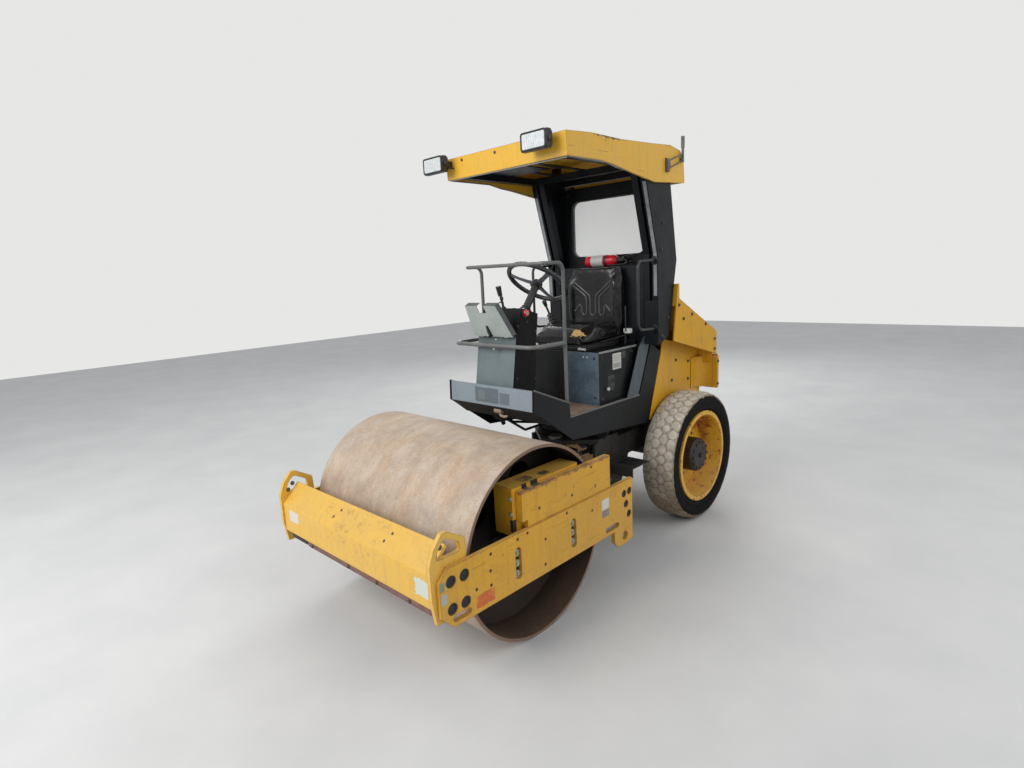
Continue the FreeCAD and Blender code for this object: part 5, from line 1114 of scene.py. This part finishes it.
def seat_cushions():
    """Base with raised sides and a rolled front, and a back with side wings and a sunk middle."""
    base = Shape()
    rings = []
    for step in range(19):
        along = step / 18
        y = 0.042 + 0.350 * along
        roll = ease(along / 0.20)
        half = 0.205 + 0.012 * ease(along / 0.3)
        middle = 1.285 + 0.043 * roll - 0.010 * ease((along - 0.25) / 0.75)
        side = 1.290 + 0.058 * ease(along / 0.45)
        ring = [(x * half, y, 1.2405) for x in (-0.93, -0.5, 0, 0.5, 0.93)]
        ring.append((half, y, 1.256))
        for across in (1.0, 0.93, 0.82, 0.70, 0.55, 0.35, 0.12, -0.12, -0.35, -0.55, -0.70, -0.82, -0.93, -1.0):
            rise = ease((abs(across) - 0.50) / 0.32)
            drop = 0.024 * ease((abs(across) - 0.88) / 0.12)
            ring.append((across * half, y, middle + (side - middle) * rise - drop))
        ring.append((-half, y, 1.256))
        rings.append(ring)
    base.rings(rings)
    base_pad = finish_pad(swell(base, "seat_cushion", 4.0, 0.010), M["torn"], "seat_base")
    back = Shape()
    rings = []
    for step in range(25):
        along = step / 24
        z = 1.245 + 0.448 * along
        half = 0.196 + 0.022 * ease(along / 0.28) - 0.022 * ease((along - 0.80) / 0.20)
        wing = 0.408 + 0.026 * ease((along - 0.72) / 0.28)
        middle = 0.436 - 0.010 * ease(along / 0.2) + 0.004 * math.sin(along * 3.1)
        ring = []
        for across in (-1.0, -0.95, -0.86, -0.76, -0.62, -0.42, -0.15, 0.15, 0.42, 0.62, 0.76, 0.86, 0.95, 1.0):
            rise = ease((abs(across) - 0.52) / 0.30)
            turn = 0.026 * ease((abs(across) - 0.86) / 0.14)
            ring.append((across * half, middle + (wing - middle) * rise + turn, z))
        ring += [(x * half, 0.489 - 0.012 * ease((abs(x) - 0.6) / 0.4), z) for x in (1.0, 0.85, 0.4, 0, -0.4, -0.85, -1.0)]
        rings.append(ring)
    back.rings(rings)
    back_pad = finish_pad(swell(back, "seat_backrest", 4.0, 0.008), M["vinyl"], "seat_back")
    return base_pad, back_pad


def seat_trim(pads):
    """Raised ribs and edge piping on the cushions, bellows under them, belt latch and small grips."""
    base_pad, back_pad = pads
    back_tree = BVHTree.FromObject(back_pad, bpy.context.evaluated_depsgraph_get())
    base_tree = BVHTree.FromObject(base_pad, bpy.context.evaluated_depsgraph_get())

    def on_back(x, z, sink=0.0012):
        hit = back_tree.ray_cast(Vector((x, 0.2, z)), Y)[0]
        return Vector((x, hit.y + sink, z)) if hit else None

    def on_base(x, y, sink=0.0012):
        hit = base_tree.ray_cast(Vector((x, y, 1.6)), -UP)[0]
        return Vector((x, y, hit.z - sink)) if hit else None

    def laid(points, place):
        """Carry a path onto a cushion, with points close enough to follow its surface."""
        path = []
        for first, second in zip(points, points[1:]):
            gap = math.dist(first, second)
            count = max(1, round(gap / 0.012))
            for step in range(count):
                share = step / count
                path.append((first[0] + (second[0] - first[0]) * share, first[1] + (second[1] - first[1]) * share))
        path.append(points[-1])
        found = [place(*point) for point in path]
        return [point for point in found if point]

    # The ribs' lighter grey material is a painted highlight.
    ribs = Shape()
    patterns = []
    for sign in (1, -1):
        patterns.append([(0.150 * sign, 1.604), (0.062 * sign, 1.540), (0.026 * sign, 1.512), (0.021 * sign, 1.480),
                         (0.021 * sign, 1.398), (0.012 * sign, 1.385), (0, 1.383)])
        patterns.append([(0.152 * sign, 1.578), (0.085 * sign, 1.530), (0.056 * sign, 1.506), (0.050 * sign, 1.474),
                         (0.050 * sign, 1.400), (0.059 * sign, 1.385), (0.078 * sign, 1.385), (0.087 * sign, 1.400),
                         (0.094 * sign, 1.446), (0.104 * sign, 1.452), (0.142 * sign, 1.408)])
    for points in patterns:
        ribs.tube(laid(points, on_back), 0.0062, 10, 1)
    for points in ([(-0.13, 0.10), (-0.13, 0.37)], [(0.13, 0.10), (0.13, 0.37)],
                   [(-0.045, 0.13), (-0.045, 0.36)], [(0.045, 0.13), (0.045, 0.36)],
                   [(-0.13, 0.10), (-0.06, 0.088), (0.06, 0.088), (0.13, 0.10)]):
        ribs.tube(laid(points, on_base), 0.0048, 8, 1, flat=0.8)
    ribs.piece("seat_ribs", "chassis", M["rib"], "seat_vinyl", 60)
    skirt = Shape()
    for low, high, grow in ((1.2008, 1.2118, 0.0), (1.2122, 1.2232, 0.006), (1.2236, 1.2346, 0.0)):
        skirt.slab(rounded(-0.182 - grow, 0.064 - grow, 0.182 + grow, 0.448, 0.02), "XY", low, high, 0.005)
    skirt.piece("seat_bellows", "chassis", M["rubber"], RUBBER, 40)
    latch = Shape()
    latch.slab(rounded(0.240, 0.404, 0.286, 0.440, 0.006), "XY", 1.276, 1.306, 0.004)
    latch.piece("belt_latch", "chassis", M["white"], LIGHT, 35)
    buckle = Shape()
    for _, sign in SIDES:
        low, high = sorted((0.246 * sign, 0.254 * sign))
        buckle.slab(rounded(low, 0.404, high, 0.424, 0.003, 2), "XY", 1.2005, 1.288, 0.001)
    buckle.slab(rounded(-0.262, 0.398, -0.238, 0.430, 0.005), "XY", 1.286, 1.345, 0.005)
    buckle.tube([(0.249, 0.410, 1.264), (0.243, 0.30, 1.256), (0.244, 0.16, 1.252)], 0.006, 8, 2, flat=0.5)
    buckle.tube([(0.262, 0.400, 1.290), (0.262, 0.400, 1.360), (0.260, 0.402, 1.447)], 0.0036, 8, 1)
    buckle.piece("belt_buckle", "chassis", M["plastic"], PLASTIC, 35)
    grips = Shape()
    grips.tube([(0.165, 0.066, 1.219), (0.165, 0.040, 1.219), (0.190, 0.036, 1.219), (0.222, 0.036, 1.218)], 0.0065, 10, 2)
    knob = [(0, 0.002), (0.001, 0.008), (0.010, 0.011), (0.016, 0.009), (0.018, 0.002)]
    grips.lathe(knob, (0.3003, 0.135, 0.975), X, 18)
    for x in (0.193, 0.221):
        grips.lathe([(0, 0.006), (0.003, 0.006), (0.005, 0.003), (0.005, 0.001)], (x, 0.0545, 1.170), -Y, 12)
    grips.piece("seat_grips", "chassis", M["white"], LIGHT, 35)
    edge = Shape()
    for _, sign in SIDES:
        low, high = sorted((0.2965 * sign, 0.3035 * sign))
        edge.slab(rounded(low, 0.060, high, 0.452, 0.002, 2), "XY", 1.1925, 1.2035, 0.001)
    edge.piece("seat_box_edge", "chassis", M["dull"], LIGHT, 35)
    bolts = Shape()
    for _, sign in SIDES:
        for y, z in ((0.085, 1.17), (0.085, 0.92), (0.40, 1.17), (0.40, 0.92)):
            bolts.bolt((0.300 * sign, y, z), X * sign, 0.006)
    for x in (-0.27, 0.27):
        for z in (0.93, 1.165):
            bolts.bolt((x, 0.055, z), -Y, 0.006)
    bolts.piece("seat_box_bolts", "chassis", M["dark_bolt"], STEEL, 30)


def console_trim():
    """Stop button, gauges, switches and lever knob on the console, and the lid's latch."""
    red = Shape()
    red.lathe([(0, 0.011), (0.006, 0.011), (0.007, 0.0185), (0.013, 0.0195), (0.019, 0.017), (0.021, 0.008), (0.021, 0.001)],
              (0.1455, -0.388, 1.466), X, 28)
    red.piece("stop_button", "chassis", M["red"], "red_paint", 40)
    cap = Shape()
    cap.lathe([(0, 0.0125), (0.0012, 0.0120), (0.0018, 0.006), (0.0018, 0.001)], (0.1655, -0.388, 1.466), X, 24)
    cap.piece("button_cap", "chassis", M["beige"], LIGHT, 40)
    black = Shape()
    black.lathe([(0, 0.024), (0.003, 0.024), (0.004, 0.022), (0.004, 0.012)], (0.145, -0.388, 1.466), X, 28)
    for y, z in ((-0.375, 1.416), (-0.447, 1.400), (-0.310, 1.360), (-0.330, 1.100), (-0.470, 1.120)):
        black.bolt((0.145, y, z), X, 0.006)
    black.tube([(-0.060, -0.372, 1.52), (-0.058, -0.345, 1.525), (-0.058, -0.34, 1.50)], 0.004, 8, 1)
    tilt = Vector((0, -0.288, 0.958)).normalized()
    slope = Vector((0, 0.958, 0.288)) * -1
    for x, radius in ((0.085, 0.030), (0.020, 0.022), (-0.105, 0.022)):
        black.lathe([(0, radius), (0.004, radius), (0.006, radius - 0.003), (0.003, radius - 0.006), (0.003, 0.002)],
                    Vector((x, -0.352, 1.4775)), tilt, 28)
    for index in range(4):
        x = 0.100 - index * 0.024
        black.slab(rounded(x - 0.009, -0.318, x + 0.009, -0.290, 0.002, 2), "XY", 1.455, 1.473, 0.002)
    black.piece("console_fittings", "chassis", M["plastic"], PLASTIC, 35)
    dial = Shape()
    for x, radius in ((0.085, 0.023), (0.020, 0.0155), (-0.105, 0.0155)):
        dial.lathe([(0, radius), (0.0005, radius), (0.0005, 0.001)], Vector((x, -0.352, 1.4775)) + tilt * 0.0032, tilt, 28)
    dial.piece("console_dials", "chassis", M["white"], LIGHT, 35)
    collar = Shape()
    collar.lathe([(0, 0.0085), (0.004, 0.0105), (0.016, 0.0100), (0.020, 0.0075)], (-0.060, -0.350, 1.534),
                 Vector((0, -0.25, 1)), 16)
    collar.piece("lever_collar", "chassis", M["plastic"], PLASTIC, 40)
    boot = Shape()
    foot = WHEEL_CENTRE - WHEEL_AXIS * 0.236
    profile = [(0, 0.046)]
    for fold in range(5):
        wide = 0.046 - fold * 0.0045
        profile += [(0.006 + fold * 0.014, wide), (0.013 + fold * 0.014, wide - 0.008)]
    profile += [(0.080, 0.0232), (0.084, 0.0226)]
    boot.lathe(profile, foot, WHEEL_AXIS, 28)
    boot.piece("column_boot", "chassis", M["rubber"], RUBBER, 50)
    lean = math.radians(27.6)
    along = Vector((0, -math.sin(lean), math.cos(lean)))
    inward = Vector((0, math.cos(lean), math.sin(lean)))
    hinge = Vector((0, -0.478, 1.352))
    latch = Shape()
    rings = []
    for reach, half, out in ((0.002, 0.009, 0.002), (0.004, 0.011, 0.008), (0.030, 0.010, 0.011), (0.052, 0.007, 0.009),
                             (0.068, 0.006, 0.006), (0.070, 0.004, 0.002)):
        spot = hinge + along * reach - X * 0.012 - inward * 0.0142
        rings.append([spot + X * half, spot + X * half * 0.8 - inward * out, spot - X * half * 0.8 - inward * out,
                      spot - X * half])
    latch.rings(rings)
    latch.bolt(hinge + along * 0.012 - inward * 0.024 - X * 0.012, -inward, 0.005)
    latch.piece("lid_latch", "lid", M["plastic"], PLASTIC, 40)
    screws = Shape()
    for x, z in ((0.040, 1.332), (0.019, 1.281), (-0.120, 1.290)):
        screws.bolt((x, -0.5085, z), -Y, 0.0055)
    screws.piece("console_screws", "chassis", M["washer"], STEEL, 35)


def wheel():
    """Steering wheel: padded ring with finger grips, three grey spokes that rise to it, hub with a cap."""
    centre, axis = WHEEL_CENTRE, WHEEL_AXIS
    up = X.cross(axis) * -1
    ring = Shape()
    rings = []
    steps = 120
    for step in range(steps):
        angle = 2 * math.pi * step / steps
        out = X * math.cos(angle) + up * math.sin(angle)
        grip = 0.0134 + 0.0006 * math.cos(angle * 40)
        loop = []
        for part in range(14):
            turn = 2 * math.pi * part / 14
            radius = grip if math.sin(turn) < 0 else 0.0138
            loop.append(centre + out * (0.178 + math.cos(turn) * 0.0138) + axis * math.sin(turn) * radius)
        rings.append(loop)
    ring.rings(rings, close_path=True)
    hub = [(-0.031, 0.030), (-0.031, 0.034), (-0.004, 0.034), (0.000, 0.031), (0.004, 0.029), (0.007, 0.020),
           (0.0075, 0.004)]
    ring.lathe(hub, centre, axis, 36)
    ring.piece("steering_ring", "steering_wheel", M["plastic"], PLASTIC, 50, ("steering_wheel",))
    spokes = Shape()
    for turn in (90, 210, 330):
        out = X * math.cos(math.radians(turn)) + up * math.sin(math.radians(turn))
        side = axis.cross(out)
        rings = []
        for reach, wide, drop in ((0.026, 0.021, -0.012), (0.060, 0.017, -0.012), (0.110, 0.0140, -0.010),
                                  (0.150, 0.0150, -0.005), (0.172, 0.0175, -0.001)):
            spot = centre + out * reach + axis * drop
            rings.append([spot + side * wide - axis * 0.003, spot + side * wide * 0.82 + axis * 0.0030,
                          spot + side * wide * 0.4 + axis * 0.001, spot - side * wide * 0.4 + axis * 0.001,
                          spot - side * wide * 0.82 + axis * 0.0030, spot - side * wide - axis * 0.003,
                          spot - side * wide * 0.5 - axis * 0.0055, spot + side * wide * 0.5 - axis * 0.0055])
        spokes.rings(rings)
    spokes.piece("steering_spokes", "steering_wheel", M["grey_plastic"], PLASTIC, 50)


def extinguisher():
    """Lying bottle with domed ends, blank label, straps, valve with levers, and its short hose."""
    place = Vector((0, 0.555, 1.728))
    body = Shape()
    body.lathe([(-0.140, 0.004), (-0.1395, 0.020), (-0.133, 0.032), (-0.122, 0.0365), (-0.115, 0.0375), (0.070, 0.0375),
                (0.086, 0.035), (0.099, 0.027), (0.107, 0.017), (0.110, 0.014)], place, X, 40)
    body.piece("bottle", "chassis", M["red"], "red_paint", 40, ("extinguisher",))
    label = Shape()
    label.lathe([(-0.084, 0.0374), (-0.0838, 0.0379), (0.0098, 0.0379), (0.010, 0.0374)], place, X, 40)
    label.piece("bottle_label", "chassis", M["white"], LIGHT, 60)
    black = Shape()
    black.lathe([(0.018, 0.0374), (0.0185, 0.0387), (0.0355, 0.0387), (0.036, 0.0374)], place, X, 40)
    black.lathe([(0.107, 0.013), (0.108, 0.019), (0.122, 0.020), (0.124, 0.016), (0.140, 0.015), (0.142, 0.005)],
                place, X, 24)
    for first, last, wide in (((0.142, 0.555, 1.744), (0.226, 0.552, 1.757), 0.006), ((0.142, 0.555, 1.722), (0.222, 0.552, 1.712), 0.006)):
        black.tube([first, ((first[0] + last[0]) / 2, 0.554, (first[2] + last[2]) / 2 + 0.003), last], wide, 8, 2, flat=0.6)
    black.tube([(0.150, 0.549, 1.728), (0.180, 0.534, 1.728), (0.196, 0.524, 1.716), (0.190, 0.521, 1.702),
                (0.150, 0.520, 1.699), (0.060, 0.520, 1.698)], 0.0058, 10, 3)
    black.slab(rounded(0.138, 0.544, 0.160, 0.566, 0.004), "XY", 1.7195, 1.7455, 0.002)
    black.piece("bottle_valve", "chassis", M["plastic"], PLASTIC, 35)


# Roll-over frame, canopy and hood

def post_trim():
    """Window seal, painted highlight strips on the posts' front faces, covers at the posts' feet, and bolts."""
    seal = Shape()
    for y in (0.5995, 0.6205):
        outline = rounded(-0.287, 1.760, 0.287, 2.130, 0.057, 6)
        seal.tube([(u, y, v) for u, v in outline], 0.008, 8, 0, True, 0.6)
    seal.piece("window_seal", "chassis", M["rubber"], RUBBER, 60)
    tree = BVHTree.FromObject(CAD["posts"], bpy.context.evaluated_depsgraph_get())
    # Thin light-grey sheets on the posts' front faces: painted highlights.
    strips = Shape()
    for _, sign in SIDES:
        rings = []
        for step in range(41):
            z = 1.50 + 0.66 * step / 40
            spots = [tree.ray_cast(Vector((x * sign, 0.1, z)), Y)[0] for x in (0.402, 0.424)]
            if all(spots) and max(spot.y for spot in spots) < 0.52:
                near, far = (spot - Y * 0.0002 for spot in spots)
                rings.append([near, far, far - Y * 0.0016, near - Y * 0.0016])
        strips.rings(rings)
    strips.piece("post_painted_highlights", "chassis", M["strip"], LIGHT, 35)
    cover = Shape()
    bolts = Shape()
    for _, sign in SIDES:
        outline = [(0.336 * sign, 1.302), (0.429 * sign, 1.196), (0.429 * sign, 1.470), (0.336 * sign, 1.470)]
        cover.slab(outline, "XZ", 0.5005, 0.5045, 0.0015)
        for z in (1.255, 1.775):
            bolts.bolt((0.430 * sign, 0.540, z), X * sign, 0.009)
        for y, z in ((0.560, 1.24), (0.620, 1.36), (0.560, 1.93), (0.440, 2.18)):
            bolts.bolt((0.430 * sign, y, z), X * sign, 0.0085)
        for z in (1.40, 1.62, 2.17):
            bolts.bolt((0.320 * sign, 0.600, z), -Y, 0.0075)
            bolts.bolt((0.320 * sign, 0.620, z), Y, 0.0075)
        for x, z in ((0.408, 1.713), (0.408, 1.300)):
            cover.lathe([(0, 0.026), (0.004, 0.026), (0.005, 0.024), (0.005, 0.013)], (x * sign, 0.4985, z), -Y, 24)
    cover.piece("post_covers", "chassis", M["dark"], DARK, 30)
    bolts.piece("post_bolts", "chassis", M["dark_bolt"], STEEL, 30)


def lamp_face(side):
    """Lens with a ribbed face, bezel, bracket screws and the short cable of one work lamp."""
    middle, stem = (0.308, 0.308) if side == "left" else (-0.468, -0.410)
    height = 2.308
    lens = Shape()
    outline = rounded(middle - 0.074, height - 0.036, middle + 0.074, height + 0.036, 0.008)
    lens.slab(outline, "XZ", -0.4505, -0.4449, 0.002)
    for index in range(9):
        x = middle - 0.060 + index * 0.015
        lens.slab(rounded(x - 0.0052, height - 0.030, x + 0.0052, height + 0.030, 0.004, 3), "XZ", -0.4515, -0.450, 0.0007)
    lens.piece(f"lamp_lens_{side}", "chassis", M["lens"], "glass", 40)
    bezel = Shape()
    outline = rounded(middle - 0.0785, height - 0.0405, middle + 0.0785, height + 0.0405, 0.010)
    bezel.tube([(u, -0.4475, v) for u, v in outline], 0.0056, 8, 0, True)
    for turn in (-1, 1):
        bezel.lathe([(0, 0.014), (0.004, 0.014), (0.006, 0.010), (0.006, 0.003)],
                    (middle + turn * 0.083, -0.420, height), X * turn, 18)
    bezel.tube([(stem + 0.030, -0.402, height - 0.020), (stem + 0.034, -0.388, height - 0.026),
                (stem + 0.033, -0.366, height - 0.022)], 0.0042, 8, 2)
    bezel.piece(f"lamp_bezel_{side}", "chassis", M["plastic"], PLASTIC, 45)


def canopy_trim():
    """Screws, roof ribs and a liner under the canopy, the engine's closing plate and the canopy's seam."""
    screws = Shape()
    for x, z in ((-0.306, 2.322), (-0.041, 2.319)):
        screws.bolt((x, -0.3635 - (z - 2.322) * 0.087, z), -Y, 0.0075)
    screws.piece("canopy_screws", "chassis", M["bolt"], STEEL, 30)
    ribs = Shape()
    for x in (-0.22, 0.0, 0.22):
        ribs.slab([(x - 0.02, -0.30), (x + 0.02, -0.30), (x + 0.02, 0.68), (x - 0.02, 0.68)], "XY", 2.2765, 2.2815, 0.001)
    ribs.block((-0.41, -0.33, 2.2702), (-0.05, 0.10, 2.2757), 0.001)
    ribs.piece("roof_slats", "chassis", M["dark"], DARK, 35)
    closing = Shape()
    closing.block((-0.295, 0.512, 1.195), (0.295, 0.517, 1.335), 0.0005)
    closing.piece("engine_closing_plate", "chassis", M["dark"], DARK, 35)
    seam = Shape()
    seam.tube([(-0.428, -0.3500, 2.2255), (0.436, -0.3500, 2.2205)], 0.0042, 8)
    for _, sign in SIDES:
        x = 0.4365 * sign
        seam.tube([(x, -0.345, 2.2265), (x, -0.03, 2.2255), (x, 0.07, 2.2075), (x, 0.24, 2.1930), (x, 0.38, 2.1690)],
                  0.0042, 8)
    seam.piece("canopy_seam", "chassis", M["dull"], LIGHT, 50)


def hood_trim():
    """Screws of the hood and the body below it, the hood's handle, the rear grille's mesh and the counterweight's
    bolts.
    """
    screws = Shape()
    fixed = Shape()
    for _, sign in SIDES:
        for y, z in ((0.717, 1.429), (0.777, 1.338), (0.889, 1.358), (1.080, 1.276), (1.218, 1.160), (1.218, 1.090)):
            screws.bolt((0.452 * sign, y, z), X * sign, 0.0085)
        for y, z in ((0.891, 1.046), (0.837, 0.916), (1.060, 1.016), (1.060, 0.892)):
            fixed.bolt((0.333 * sign, y, z), X * sign, 0.0085)
        for y, z in ((1.236, 0.84), (1.236, 1.0)):
            fixed.bolt((0.470 * sign, y, z), X * sign, 0.008)
    for x in (-0.38, 0.38):
        for z in (0.845, 1.0):
            fixed.bolt((x, 1.345, z), Y, 0.009)
    screws.piece("hood_screws", "hood", M["bolt"], STEEL, 30)
    fixed.piece("body_screws", "chassis", M["bolt"], STEEL, 30)
    handle = Shape()
    handle.tube([(-0.07, 1.2515, 1.135), (-0.07, 1.278, 1.135), (0.07, 1.278, 1.135), (0.07, 1.2515, 1.135)], 0.006, 10, 2)
    handle.piece("hood_handle", "hood", M["plastic"], PLASTIC, 45)
    weave = Shape()
    for index in range(27):
        x = -0.26 + index * 0.02
        weave.tube([(x, 1.3355, 0.852), (x, 1.3355, 0.988)], 0.0016, 6)
    for index in range(7):
        z = 0.860 + index * 0.02
        weave.tube([(-0.268, 1.3335, z), (0.268, 1.3335, z)], 0.0016, 6)
    weave.piece("grille_mesh", "chassis", M["dark"], DARK, 60)
    weight = Shape()
    for x in (-0.22, 0.22):
        for z in (0.50, 0.60):
            weight.bolt((x, 1.4605, z), Y, 0.018)
    weight.rod((0, 1.480, 0.468), UP, 0.0105, 0.125, 18, 0.002)
    weight.rod((0, 1.480, 0.590), UP, 0.018, 0.008, 18, 0.002)
    weight.piece("weight_bolts", "chassis", M["bolt"], STEEL, 30)


set_camera()
set_light()
lay_floor()
dress_nodes()
for side, sign in SIDES:
    tyre(side, sign)
    wheel_trim(side, sign)
    drum_ends(side, sign)
    lamp_face(side)
front_frame_trim()
rails()
floor_trim()
seat_trim(seat_cushions())
console_trim()
wheel()
extinguisher()
post_trim()
canopy_trim()
hood_trim()
step_grates()
